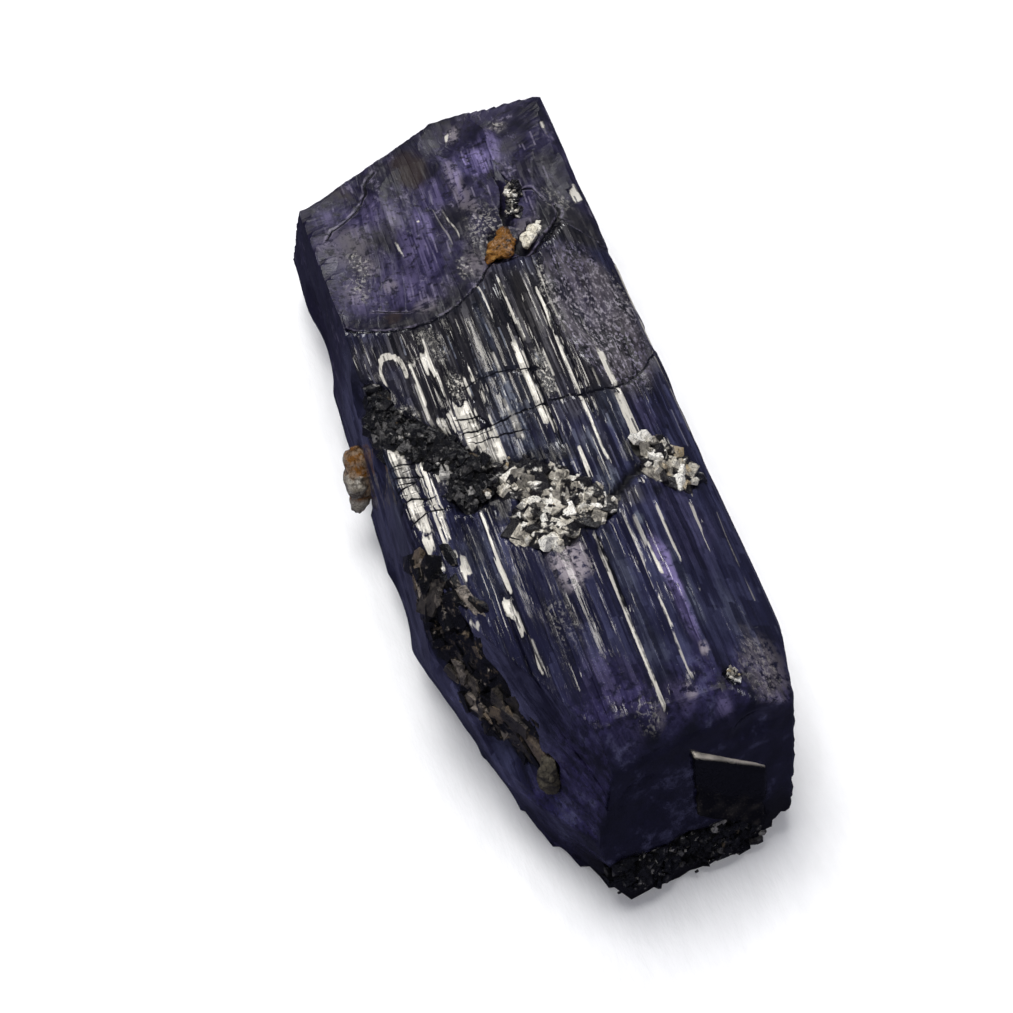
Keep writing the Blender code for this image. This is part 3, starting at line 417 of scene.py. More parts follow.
def crystalSurface():
    # Flat skin met by the rays, then everything that lies under it taken off along the rays: growth steps,
    # shell breaks, the drop behind the crack, cracks, pits and fine roughness. Masks go out for the material.
    dice = np.random.default_rng(11)
    start, direction = crystalRays()
    reach, normal = rayReach(start, direction, faceNormals, faceDistances, crystal["edgeSharpness"])
    skin = axisPoint + start + direction * reach[..., None]
    x, y, z = skin[..., 0], skin[..., 1], skin[..., 2]

    middleRow = skin[skin.shape[0] // 2]
    steps = np.linalg.norm(np.diff(middleRow, axis=0, append=middleRow[:1]), axis=-1)
    around = np.concatenate([[0.0], np.cumsum(steps)[:-1]])
    around -= around[np.argmin(np.abs(middleRow[:, 0]) + (middleRow[:, 2] < 6) * 99.0)]
    s = np.broadcast_to(around, x.shape)

    longFace = smoothStep(0.55, 0.2, np.abs(normal[..., 1]))
    topward = smoothStep(0.05, 0.35, normal[..., 2])
    crackY = np.interp(x, [p[0] for p in crackLine], [p[1] for p in crackLine])
    wander = 0.12 * smoothNoise(skin, 0.6, 5)
    sideways = smoothStep(0.6, 0.9, np.abs(normal[..., 0]))
    wander = wander + sideways * 1.3 * layeredNoise(skin, 1.7, 3, 69)
    broken = smoothStep(-0.04 - 0.8 * sideways, 0.10 + 0.8 * sideways, y - crackY + wander) * smoothStep(-0.7, -0.2, normal[..., 2])
    brokenTop = broken * topward

    stripes = stripeField(s, y, crystal["coarseWidths"], crystal["coarseHeight"], crystal["coarseTilt"], dice)
    stripes += stripeField(s + 0.01 * y, y, crystal["fineWidths"], crystal["fineHeight"], crystal["fineTilt"], dice)
    stripes *= longFace * (1.0 - 0.82 * broken) * smoothStep(-0.9, -0.5, normal[..., 2])

    paleAndGlint, brightOffset = paintMarks(creamMarksAndGlints, x, y, topward)
    blueAndReflection = paintPatches(blueReflectionPatches, skin, topward)
    violet = paintPatches(violetPatches, skin, topward)
    lilac = paintPatches(lilacPatches, skin, topward)
    charcoal = paintPatches(charcoalFields, skin, topward) * (1 - broken)
    charcoal = np.maximum(charcoal, paintPatches(charcoalPatches, skin, topward))
    brown = paintPatches(brownPatches, skin, topward, ragged=0.25)
    lace = paintPatches(lacePatches, skin, topward)
    black = paintPatches(blackPatches, skin, topward, ragged=0.7)
    leftward = smoothStep(-0.55, -0.72, normal[..., 0])
    turned = np.stack([skin[..., 1], skin[..., 2], skin[..., 0]], axis=-1)
    lumpy = paintPatches(leftBlackPatches, turned, leftward, ragged=0.7)
    black = np.maximum(black, lumpy)
    blueAndReflection = np.maximum(blueAndReflection, paintPatches(leftBluePatches, turned, leftward))
    edgeWear = smoothStep(-0.04, -0.14, normal[..., 1]) * smoothStep(0.70, 0.85, normal[..., 2])
    endZone = smoothStep(-11.6, -14.6, y + 1.2 * layeredNoise(skin, 1.4, 3, 67))
    nearFace = smoothStep(0.35, 0.85, -normal[..., 1]) * smoothStep(-14.0, -15.5, y)

    rough = smoothStep(1.1, 0.8, np.hypot((x - 4.7) / 1.9, (y - 4.2) / 4.1)) * topward * (1 - broken)
    # a pale arch left of the middle: a painted reflection, drawn cream with the pale marks
    archWander = 0.10 * layeredNoise(skin, 0.5, 3, 66)
    archReflection = smoothStep(0.24, 0.10, np.abs(np.hypot((x + 4.18) / 0.46, (y - 3.45) / 1.0) - 1.0 + archWander)) * smoothStep(2.9, 3.4, y) * topward
    crackDepth = np.zeros(x.shape)
    crackDark = np.zeros(x.shape)
    crackSide = np.full(x.shape, 9.0)
    wanderX, wanderY = x + 0.05 * smoothNoise(skin, 0.35, 8), y + 0.07 * smoothNoise(skin, 0.4, 9)
    for points, width, depth in cracks + [(crackLine, 0.06, 0.14)]:
        distance = signedLineDistance(wanderX, wanderY, points)
        crackDepth += depth * np.exp(-(distance / max(width, 0.09)) ** 2) * topward
        if width > 0.08:
            crackDark = np.maximum(crackDark, smoothStep(width * 1.3, width * 0.5, np.abs(distance)) * topward)
        else:
            crackSide = np.where(np.abs(distance) < np.abs(crackSide), distance * 0.05 / width, crackSide)
    crackNear = smoothStep(0.34, 0.22, np.abs(crackSide)) * topward

    nearest, second, value = cellNoise(skin * [1.0, 0.8, 1.0], 0.55, 31)
    flakes = (0.5 - value) * smoothStep(0.0, 0.25, second - nearest)
    pitZone = smoothStep(1.25, 0.8, np.hypot((x + 2.0) / 3.0, (y + 2.0) / 3.2)) * topward
    pits = smoothStep(0.30, 0.12, cellNoise(skin, 0.42, 77)[0]) * pitZone * 0.10
    nearRough = smoothStep(3.0, 1.6, z + 0.8 * layeredNoise(skin, 1.3, 3, 19)) * smoothStep(-14.6, -15.8, y)

    pocket = pocketDepth(skin, normal)
    crackDark = np.maximum(crackDark, 0.9 * pocket)
    depth = shellDepth(skin, normal) + 0.26 * pocket
    depth += crystal["breakDrop"] * brokenTop + crackDepth + pits
    depth += brokenTop * (0.10 * np.abs(layeredNoise(skin * [1.4, 0.8, 1.0], 1.9, 4, 3)) + 0.035 * (flakes + 0.5))
    depth += rough * (0.07 * (1 + layeredNoise(skin * [1.0, 1.3, 1.0], 0.62, 3, 23)))
    depth += (1 - longFace) * (0.05 * (1 + layeredNoise(skin, 1.5, 4, 29)))
    depth += endZone * topward * 0.07 * (1 + layeredNoise(skin * [1.0, 0.8, 1.0], 0.9, 4, 33))
    depth += sideways * 0.07 * (1 + layeredNoise(skin * [1.0, 0.6, 1.0], 1.3, 4, 87))
    depth += lumpy * (0.02 + 0.24 * np.abs(layeredNoise(skin, 1.0, 3, 39)))
    depth += nearRough * 0.16 * (1 + layeredNoise(skin, 0.5, 3, 37)) * 0.5
    depth += 0.010 * (1 + layeredNoise(skin * [1, 0.35, 1], 0.3, 2, 41))
    flashZone = smoothStep(1.2, 0.4, np.hypot((x + 0.6) / 4.2, (y - 0.2) / 4.2)) * 0.055 + 0.008
    flashZone *= smoothStep(-9.5, -6.0, y) * (1 - rough) * (1 - broken) * topward * smoothStep(0.45, 0.2, np.abs(normal[..., 0]))
    glintSteps, flashOffset = flashFacets(s, y, flashZone, dice)
    glintSteps = glintSteps * longFace * smoothStep(-13.2, -11.5, y)
    leaning = np.maximum(paleAndGlint, glintSteps * 0.85) * longFace
    brightOffset = np.where(paleAndGlint > 0.3, brightOffset, flashOffset)
    lean = crystal["mirrorLean"] + normal[..., 0] / np.maximum(normal[..., 2], 0.3)
    stripes = stripes * (1 - leaning) + leaning * (brightOffset * lean - 0.05)
    depth -= np.minimum(stripes, 0.0)
    slope = np.maximum(np.sum(direction * normal, axis=-1), 0.35)
    surface = skin - direction * (np.maximum(depth, 0.0) / slope)[..., None]
    surface[..., 2] = np.maximum(surface[..., 2], 0.0)

    masks = {
        "zones": np.stack([broken, violet, rough, blueAndReflection], axis=-1),
        "marks": np.stack([np.maximum(paleAndGlint, archReflection), crackDark, nearRough, lilac], axis=-1),
        # the fourth channel holds the glint steps, which the material paints cream as a painted glint
        "stainsAndGlint": np.stack([charcoal, brown, lace, glintSteps], axis=-1),
        "cracks": np.stack([np.clip(0.5 + crackSide, 0, 1), crackNear, black, 0 * x + 1], axis=-1),
        "ends": np.stack([endZone, nearFace, longFace, edgeWear], axis=-1),
    }
    return surface, masks, normal


def closedGrid(name, rows, masks=None):
    # A grid whose columns run round and whose first and last rows are closed by one point each.
    # Rows go from the near end to the far end, and the corners are ordered so that faces point out.
    rowCount, columnCount = rows.shape[:2]
    ends = np.stack([rows[0].mean(axis=0), rows[-1].mean(axis=0)])
    points = np.concatenate([rows.reshape(-1, 3), ends])
    index = np.arange(rowCount * columnCount).reshape(rowCount, columnCount)
    turned = np.roll(index, -1, axis=1)
    quads = np.stack([index[:-1], turned[:-1], turned[1:], index[1:]], axis=-1).reshape(-1, 4)
    first, last = rowCount * columnCount, rowCount * columnCount + 1
    nearFan = np.stack([np.full(columnCount, first), turned[0], index[0]], axis=-1)
    farFan = np.stack([np.full(columnCount, last), index[-1], turned[-1]], axis=-1)
    layers = {}
    for layer, values in (masks or {}).items():
        edge = np.stack([values[0].mean(axis=0), values[-1].mean(axis=0)])
        layers[layer] = np.concatenate([values.reshape(-1, values.shape[-1]), edge])
    return makePiece(name, points, quads, np.concatenate([nearFan, farFan]), layers)


def makePiece(name, points, quads, triangles, layers=None):
    # one mesh object at the origin, from points in mm in the crystal's own frame
    mesh = bpy.data.meshes.new(name)
    mesh.vertices.add(len(points))
    mesh.vertices.foreach_set("co", ((points + framePlace) * mm).astype(np.float32).ravel())
    corners = np.concatenate([quads.ravel(), triangles.ravel()]).astype(np.int32)
    starts = np.concatenate([np.arange(len(quads)) * 4, len(quads) * 4 + np.arange(len(triangles)) * 3]).astype(np.int32)
    mesh.loops.add(len(corners))
    mesh.loops.foreach_set("vertex_index", corners)
    mesh.polygons.add(len(starts))
    mesh.polygons.foreach_set("loop_start", starts)
    mesh.update(calc_edges=True)
    mesh.validate()
    for layer, values in (layers or {}).items():
        attribute = mesh.color_attributes.new(layer, "FLOAT_COLOR", "POINT")
        attribute.data.foreach_set("color", values.astype(np.float32).ravel())
    piece = bpy.data.objects.new(name, mesh)
    bpy.context.scene.collection.objects.link(piece)
    return piece


# Grains

grains = {
    # side, path, half width of the mass, number of chips, chip radii, height over the skin, material
    "calcite_crust": dict(side="top", path=[(-2.0, -2.9), (-0.8, -3.2), (0.3, -4.1), (1.3, -5.2), (0.2, -5.0), (-0.9, -4.6), (-1.4, -5.5),
                          (-0.4, -5.9)], width=0.84, chips=240, size=(0.10, 0.74), rise=0.20, slot="calcite", dark=0.28, stain=0.02),
    "graphite_patch": dict(side="top", path=[(-5.5, 2.9), (-5.6, 1.7), (-5.0, 0.9), (-4.3, 0.3), (-3.6, -0.6), (-3.1, -1.5), (-2.6, -2.5), (-3.3, -3.1)],
                           width=0.80, chips=340, size=(0.07, 0.52), rise=0.10, tilt=28.0, slot="graphite", dark=0.80, stain=0.03),
    "calcite_knob": dict(side="top", path=[(4.2, -2.9), (4.8, -3.2), (5.3, -4.2), (4.5, -3.9)],
                         width=0.66, chips=60, size=(0.16, 0.72), rise=0.30, slot="calcite", dark=0.16, stain=0.12),
    "iron_stained_grain": dict(side="top", path=[(2.25, 9.25), (2.1, 8.6), (1.75, 8.15)], width=0.50, radii=(0.30, 0.46, 0.62),
                               sink=0.10, flatness=0.75, rough=0.34, core=0.50, coreShift=(0, 0, 0), slot="iron_stain", dark=1.0),
    "cream_grain": dict(side="top", path=[(2.85, 8.0), (3.1, 8.4), (3.45, 8.8), (3.85, 9.3)], width=0.36, radii=(0.24, 0.36, 0.32, 0.15),
                        sink=0.02, flatness=0.6, rough=0.22, core=-1.0, coreShift=(0, 0, 0), slot="calcite", look="creamGrain", dark=0.8),
    "pale_vein": dict(side="top", path=[(2.9, 9.9), (3.2, 11.2), (3.8, 12.6)],
                      width=0.28, chips=64, size=(0.09, 0.26), rise=0.08, slot="calcite", dark=0.42, stain=0.02),
    "edge_grain": dict(side="left", path=[(3.3, 3.8), (2.9, 3.1), (2.6, 2.3)], width=0.70, radii=(0.66, 0.78, 0.62),
                       sink=-0.10, flatness=0.85, rough=0.16, core=0.57, coreShift=(-0.05, 0.10, 0.42), slot="clear_grain", dark=0.6),
    "graphite_seam": dict(side="left", path=[(-5.6, 7.8), (-7.2, 7.3), (-8.8, 6.6), (-10.4, 5.9), (-11.8, 5.4)],
                          width=1.25, chips=230, size=(0.14, 0.86), rise=0.02, tilt=12.0, slot="graphite", look="tornGraphite", dark=0.55, stain=0.34, drawn=1.8),
    "brown_lump": dict(side="left", path=[(-13.6, 5.5), (-13.8, 5.0)], width=0.50, radii=(0.55, 0.52),
                       sink=0.06, flatness=0.8, rough=0.26, core=-1.0, coreShift=(0, 0, 0), slot="brown_rock", dark=1.0),
    "graphite_tip": dict(side="near", path=[(-1.3, 1.7), (0.2, 1.5), (1.5, 1.3), (3.0, 1.4), (3.9, 1.2)],
                         width=0.90, chips=300, size=(0.10, 0.46), rise=0.20, slot="graphite", dark=0.88, stain=0.04),
    "small_grain": dict(side="top", path=[(3.6, -13.6), (3.8, -13.8)],
                        width=0.20, chips=14, size=(0.09, 0.20), rise=0.14, slot="calcite", dark=0.25, stain=0.15),
}
plate = {"centre": (3.1, 4.2), "width": 3.1, "height": 3.9, "thickness": 0.9, "slant": -40.0, "sink": 0.32}


def skinPoints(side, first, second):
    # the places on the flat faces seen from a side, and the normals there
    a, b, out, sign = sideFrame(side)
    start = np.zeros(first.shape + (3,))
    start[..., a] = first
    start[..., b] = second
    start[..., 2] -= axisPoint[2]
    direction = np.zeros_like(start)
    direction[..., out] = sign
    if side == "top":
        start[..., 2] = 0.0
    reach, normal = rayReach(start, direction, faceNormals, faceDistances, 200.0)
    return axisPoint + start + direction * reach[..., None], normal


def pocketDepth(points, normals):
    # the crystal gives way round each grain: a hollow as wide as the grain and a little more
    depth = np.zeros(points.shape[:-1])
    for grain in grains.values():
        a, b, out, sign = sideFrame(grain["side"])
        facing = smoothStep(0.2, 0.5, normals[..., out] * sign)
        distance, _ = lineDistance(points[..., a], points[..., b], grain["path"])
        distance = distance + 0.30 * layeredNoise(points, 0.7, 3, 91)
        depth = np.maximum(depth, facing * smoothStep(grain["width"] + 0.08, grain["width"] - 0.20, distance))
    return depth


def chipTemplate(dice):
    # the hull of eight pushed-about corners of a block and a few more points on a ball: a small angular chip
    block = np.array([[x, y, z] for x in (-1, 1) for y in (-1, 1) for z in (-1, 1)]) * dice.uniform(0.38, 0.82, (8, 3))
    extra = dice.normal(size=(3, 3))
    extra *= (dice.uniform(0.7, 1.05, 3) / np.linalg.norm(extra, axis=-1))[:, None]
    builder = bmesh.new()
    for corner in np.concatenate([block, extra]):
        builder.verts.new(corner)
    hull = bmesh.ops.convex_hull(builder, input=builder.verts)
    spare = {item for item in hull["geom_interior"] + hull["geom_unused"] if isinstance(item, bmesh.types.BMVert)}
    bmesh.ops.delete(builder, geom=list(spare), context="VERTS")
    bmesh.ops.recalc_face_normals(builder, faces=builder.faces)
    builder.verts.index_update()
    corners = np.array([tuple(corner.co) for corner in builder.verts])
    faces = np.array([[corner.index for corner in face.verts] for face in builder.faces])
    builder.free()
    return corners, faces


def chipShapes(dice, centres, normals, sizes, tilt, along=0.0, templates=14):
    # Every chip is one of a few templates, stretched by its three sizes, turned round the normal of the skin at
    # random or else roughly along the given way, and tilted from it; the chips of one template are worked out together. Also says which chip each point
    # belongs to.
    up = normals + math.tan(math.radians(tilt)) * dice.normal(size=normals.shape) * 0.6
    up /= np.linalg.norm(up, axis=-1, keepdims=True)
    side = np.cross(up, np.cross(dice.normal(size=normals.shape) + along, up))
    side /= np.linalg.norm(side, axis=-1, keepdims=True)
    turns = np.stack([side, np.cross(up, side), up], axis=-1)
    points, faces, owners, total = [], [], [], 0
    for number in range(templates):
        corners, sides = chipTemplate(dice)
        chosen = np.arange(number, len(centres), templates)
        shapes = corners[None] * sizes[chosen][:, None]
        points.append((centres[chosen][:, None] + np.einsum("nvk,njk->nvj", shapes, turns[chosen])).reshape(-1, 3))
        faces.append((sides[None] + (total + np.arange(len(chosen)) * len(corners))[:, None, None]).reshape(-1, 3))
        owners.append(np.repeat(chosen, len(corners)))
        total += len(chosen) * len(corners)
    return np.concatenate(points), np.concatenate(faces), np.concatenate(owners)


def chipCloud(name, grain, seed):
    # Chips strewn along the grain's path, thickest over its middle: a low bed of large ones and smaller ones on it
    dice = np.random.default_rng(seed)
    count = grain["chips"]
    path = np.array(grain["path"])
    share = dice.random(count) * (len(path) - 1)
    low = np.minimum(share.astype(int), len(path) - 2)
    spot = path[low] + (path[low + 1] - path[low]) * (share - low)[:, None]
    turn = dice.uniform(0, 2 * np.pi, count)
    spread = grain["width"] * np.sqrt(dice.random(count)) * dice.uniform(0.8, 1.22, count)
    aside = np.stack([np.cos(turn), np.sin(turn)], axis=-1) * spread[:, None]
    skin, normal = skinPoints(grain["side"], spot[:, 0] + aside[:, 0], spot[:, 1] + aside[:, 1])
    _, _, out, sign = sideFrame(grain["side"])
    facing = (normal[:, out] * sign > 0.3) & (skin[:, out] * sign > 3.0)
    spot += aside * np.where(facing, 1.0, 0.2)[:, None]
    distance, _ = lineDistance(spot[:, 0], spot[:, 1], grain["path"])
    small, large = grain["size"]
    bed = np.arange(count) < count // 3
    radius = np.where(bed, dice.uniform(0.85 * large, 1.15 * large, count), small + (large - small) * dice.random(count) ** 1.8)
    skin, normal = skinPoints(grain["side"], spot[:, 0], spot[:, 1])
    dome = np.sqrt(np.clip(1.0 - (distance / (grain["width"] * 1.15)) ** 2, 0.0, 1.0))
    height = grain["rise"] * dome - radius * 0.55 - np.where(bed, 0.10, 0.0) + 0.04 * dice.normal(size=count)
    height -= 0.8 * shellDepth(skin, normal)
    centres = skin + normal * height[:, None]
    flat = np.stack([dice.uniform(0.8, 1.15, count), dice.uniform(0.6, 1.0, count), dice.uniform(0.35, 0.7, count)], axis=-1)
    drawn = grain.get("drawn", 1.0)
    flat[:, 0] *= drawn
    way, _ = skinPoints(grain["side"], path[[0, -1], 0], path[[0, -1], 1])
    along = (way[1] - way[0]) / np.linalg.norm(way[1] - way[0]) * 3.0 * (drawn - 1.0)
    points, faces, owners = chipShapes(dice, centres, normal, flat * radius[:, None], grain.get("tilt", 35.0), along)
    points[:, 2] = np.maximum(points[:, 2], 0.0)
    tone = dice.random(count)
    dark = (dice.random(count) < grain["dark"]) | (bed & (dice.random(count) < 0.85) & (grain["dark"] > 0.13))
    stain = ((dice.random(count) < grain["stain"]) | (distance < grain.get("core", 0.0) * grain["width"])).astype(float)
    colour = np.stack([tone, dark.astype(float), stain, np.ones(count)], axis=-1)
    return makePiece(name, points, np.zeros((0, 4), dtype=int), faces, {"chip": colour[owners]})


def lumpSurface(name, grain, seed):
    # A rounded grain in one piece: balls along the path, flattened against the skin, with a few flat cuts and a
    # rough skin. Its core, near the path, is the stained part.
    dice = np.random.default_rng(seed)
    path = np.array(grain["path"])
    places, normals = skinPoints(grain["side"], path[:, 0], path[:, 1])
    normal = normals.mean(axis=0)
    normal /= np.linalg.norm(normal)
    up = places[-1] - places[0]
    up -= normal * (up @ normal)
    up /= np.linalg.norm(up)
    right = np.cross(up, normal)
    turn = np.stack([right, up, normal], axis=-1)
    centre = places.mean(axis=0) - normal * grain["sink"]
    rows, columns = 60, 90
    lift = np.linspace(-0.49, 0.49, rows) * np.pi
    around = np.linspace(0, 2 * np.pi, columns, endpoint=False)
    rays = np.stack([
        np.cos(lift)[:, None] * np.cos(around)[None], np.sin(lift)[:, None] + 0 * around[None],
        -np.cos(lift)[:, None] * np.sin(around)[None],
    ], axis=-1)
    reach = np.zeros(rays.shape[:2])
    for place, radius in zip((places - places.mean(axis=0)) @ turn, grain["radii"]):
        lean = rays @ place
        room = lean ** 2 - place @ place + radius ** 2
        reach = np.maximum(reach, np.where(room > 0, lean + np.sqrt(np.maximum(room, 0)), 0))
    cuts = dice.normal(size=(14, 3))
    cuts /= np.linalg.norm(cuts, axis=-1, keepdims=True)
    size = (np.abs(cuts @ ((places - places.mean(axis=0)) @ turn).T) + np.array(grain["radii"])).max(axis=1)
    flat, _ = rayReach(np.zeros(rays.shape), rays, cuts, size * dice.uniform(0.66, 0.95, 14), 40.0)
    local = rays * np.minimum(reach, flat)[..., None]
    local *= (1 + grain["rough"] * layeredNoise(local, 0.35, 4, seed))[..., None]
    local[..., 2] *= grain["flatness"]
    points = centre + local @ turn.T
    points[..., 2] = np.maximum(points[..., 2], 0.0)
    distance = np.full(reach.shape, 1e9)
    for place in np.linspace(places[0], places[-1], 7) + np.array(grain["coreShift"]):
        distance = np.minimum(distance, np.linalg.norm(points - place, axis=-1))
    distance += 0.14 * layeredNoise(points, 0.4, 3, seed + 1)
    stain = smoothStep(grain["core"] + 0.06, grain["core"] - 0.06, distance)
    tone = 0.5 + 0.5 * layeredNoise(points, 0.3, 3, seed + 2)
    dark = smoothStep(0.12, 0.30, layeredNoise(points, 0.3, 3, seed + 3)) * grain["dark"]
    return closedGrid(name, points, {"chip": np.stack([tone, dark, stain, 0 * tone + 1], axis=-1)})


def plateSurface():
    # The slab let into the near end: the same ray surface, with six cuts and a rough skin. Its upper and lower
    # edges slant; the lower half of its face is rougher; its top rim is marked for a painted cream highlight.
    centre, normal = skinPoints("near", np.array(plate["centre"][0]), np.array(plate["centre"][1]))
    up = np.array([0.0, 0.0, 1.0]) - normal * normal[2]
    up /= np.linalg.norm(up)
    right = np.cross(up, normal)
    centre = centre - normal * plate["sink"]
    rows, columns = 90, 200
    lift = np.linspace(-0.49, 0.49, rows) * np.pi
    turn = np.linspace(0, 2 * np.pi, columns, endpoint=False)
    rays = np.stack([
        np.cos(lift)[:, None] * np.cos(turn)[None], np.sin(lift)[:, None] + 0 * turn[None],
        -np.cos(lift)[:, None] * np.sin(turn)[None],
    ], axis=-1)
    cuts = np.array([[1, 0, 0], [-1, 0, 0], [0, 1, 0], [0, -1, 0], [0, 0, 1], [0, 0, -1], [0.05, 0.55, 0.83], [0.6, 0.0, 0.8]], dtype=float)
    cuts /= np.linalg.norm(cuts, axis=-1, keepdims=True)
    half = np.array([plate["width"], plate["width"], plate["height"], plate["height"], plate["thickness"], plate["thickness"]]) / 2
    room = np.concatenate([half, [1.30, 1.20]])
    reach, _ = rayReach(np.zeros(rays.shape), rays, cuts, room, 60.0)
    local = rays * reach[..., None]
    rough = smoothStep(0.2, -0.5, local[..., 1] + 0.35 * smoothNoise(local, 0.6, 3))
    rimHighlight = smoothStep(0.905, 0.95, local[..., 1] / half[2]) * smoothStep(0.0, 0.2, local[..., 2])
    local *= (1 - (0.02 + 0.07 * rough) * (1 + layeredNoise(local, 0.45, 3, 5)))[..., None]
    local[..., 1] += local[..., 0] * math.tan(math.radians(plate["slant"]))
    points = centre + local[..., :1] * right + local[..., 1:2] * up + local[..., 2:] * normal
    points[..., 2] = np.maximum(points[..., 2], 0.0)
    masks = np.stack([rough, rimHighlight, smoothNoise(local, 0.5, 7) * 0.5 + 0.5, 0 * rough + 1], axis=-1)
    return closedGrid("plateOfGraphite", points, {"chip": masks})


# Node helpers and shared effects

def addNode(tree, kind, **settings):
    node = tree.nodes.new(kind)
    for key, value in settings.items():
        setattr(node, key, value)
    return node


def feed(tree, socket, source):
    # a socket takes either a link or a plain value
    if isinstance(source, bpy.types.NodeSocket):
        tree.links.new(source, socket)
    else:
        socket.default_value = source


def maths(tree, operation, first, second=0.0, clamp=False):
    node = addNode(tree, "ShaderNodeMath", operation=operation, use_clamp=clamp)
    feed(tree, node.inputs[0], first)
    feed(tree, node.inputs[1], second)
    return node.outputs[0]


def blendColour(tree, factor, first, second, mode="MIX"):
    node = addNode(tree, "ShaderNodeMix", data_type="RGBA", blend_type=mode)
    feed(tree, node.inputs["Factor"], factor)
    feed(tree, node.inputs["A"], first if isinstance(first, bpy.types.NodeSocket) else (*first, 1.0))
    feed(tree, node.inputs["B"], second if isinstance(second, bpy.types.NodeSocket) else (*second, 1.0))
    return node.outputs["Result"]


def blendValue(tree, factor, first, second):
    node = addNode(tree, "ShaderNodeMix", data_type="FLOAT")
    feed(tree, node.inputs["Factor"], factor)
    feed(tree, node.inputs["A"], first)
    feed(tree, node.inputs["B"], second)
    return node.outputs["Result"]


def spread(tree, source, low, high, outLow=0.0, outHigh=1.0):
    node = addNode(tree, "ShaderNodeMapRange", interpolation_type="SMOOTHSTEP")
    for socket, value in zip(list(node.inputs)[:5], (source, low, high, outLow, outHigh)):
        feed(tree, socket, value)
    return node.outputs["Result"]


def ramp(tree, source, stops):
    node = addNode(tree, "ShaderNodeValToRGB")
    elements = node.color_ramp.elements
    while len(elements) < len(stops):
        elements.new(0.5)
    for element, (place, colour) in zip(elements, stops):
        element.position = place
        element.color = (*colour, 1.0)
    feed(tree, node.inputs["Fac"], source)
    return node.outputs["Color"]


def noise(tree, vector, scale, detail=3.0, roughness=0.55):
    node = addNode(tree, "ShaderNodeTexNoise")
    feed(tree, node.inputs["Vector"], vector)
    for socket, value in (("Scale", scale), ("Detail", detail), ("Roughness", roughness)):
        feed(tree, node.inputs[socket], value)
    return node.outputs["Fac"]


def newGroup(name, inputs, outputs):
    group = bpy.data.node_groups.new(name, "ShaderNodeTree")
    for label, kind, default in inputs:
        socket = group.interface.new_socket(name=label, in_out="INPUT", socket_type=kind)
        if default is not None:
            socket.default_value = default
    for label, kind in outputs:
        group.interface.new_socket(name=label, in_out="OUTPUT", socket_type=kind)
    return group, addNode(group, "NodeGroupInput").outputs, addNode(group, "NodeGroupOutput").inputs


def stretched(tree, vector, scale):
    node = addNode(tree, "ShaderNodeVectorMath", operation="MULTIPLY")
    feed(tree, node.inputs[0], vector)
    feed(tree, node.inputs[1], scale)
    return node.outputs[0]


def growthLinesGroup():
    # Long fine lines along Y, in mm: two widths of noise drawn out along the crystal, as a mask and a height
    group, given, result = newGroup(
        "growthLines",
        [("Place", "NodeSocketVector", None), ("Width", "NodeSocketFloat", 0.2), ("Length", "NodeSocketFloat", 6.0)],
        [("Lines", "NodeSocketFloat"), ("Slits", "NodeSocketFloat"), ("Height", "NodeSocketFloat"), ("Blocks", "NodeSocketFloat")],
    )
    parts = addNode(group, "ShaderNodeSeparateXYZ")
    feed(group, parts.inputs[0], given["Place"])
    sway = maths(group, "MULTIPLY", noise(group, stretched(group, given["Place"], (0.4, 0.9, 0.4)), 1.0, 1.0, 0.5), 0.10)
    across = maths(group, "ADD", maths(group, "ADD", parts.outputs[0], maths(group, "MULTIPLY", parts.outputs[2], 0.4)), sway)
    column = maths(group, "FLOOR", maths(group, "DIVIDE", across, given["Width"]))
    chance = addNode(group, "ShaderNodeTexWhiteNoise", noise_dimensions="1D")
    feed(group, chance.inputs["W"], column)
    run = maths(group, "DIVIDE", parts.outputs[1], maths(group, "MULTIPLY", given["Length"], maths(group, "ADD", chance.outputs["Value"], 0.4)))
    block = addNode(group, "ShaderNodeCombineXYZ")
    feed(group, block.inputs[0], column)
    feed(group, block.inputs[1], maths(group, "FLOOR", maths(group, "ADD", run, maths(group, "MULTIPLY", chance.outputs["Value"], 13.7))))
    value = addNode(group, "ShaderNodeTexWhiteNoise", noise_dimensions="2D")
    feed(group, value.inputs["Vector"], block.outputs[0])
    feed(group, result["Blocks"], value.outputs["Value"])
    thin = maths(group, "DIVIDE", 1.0, given["Width"])
    long = maths(group, "DIVIDE", 1.0, given["Length"])
    scale = addNode(group, "ShaderNodeCombineXYZ")
    feed(group, scale.inputs[0], thin)
    feed(group, scale.inputs[1], long)
    feed(group, scale.inputs[2], maths(group, "MULTIPLY", thin, 0.35))
    place = stretched(group, given["Place"], scale.outputs[0])
    coarse = noise(group, place, 0.6, 1.0, 0.4)
    fine = noise(group, place, 2.3, 2.0, 0.6)
    feed(group, result["Lines"], spread(group, maths(group, "ADD", maths(group, "MULTIPLY", coarse, 0.6), maths(group, "MULTIPLY", fine, 0.4)), 0.38, 0.62))
    feed(group, result["Slits"], spread(group, fine, 0.42, 0.34))
    feed(group, result["Height"], fine)
    return group


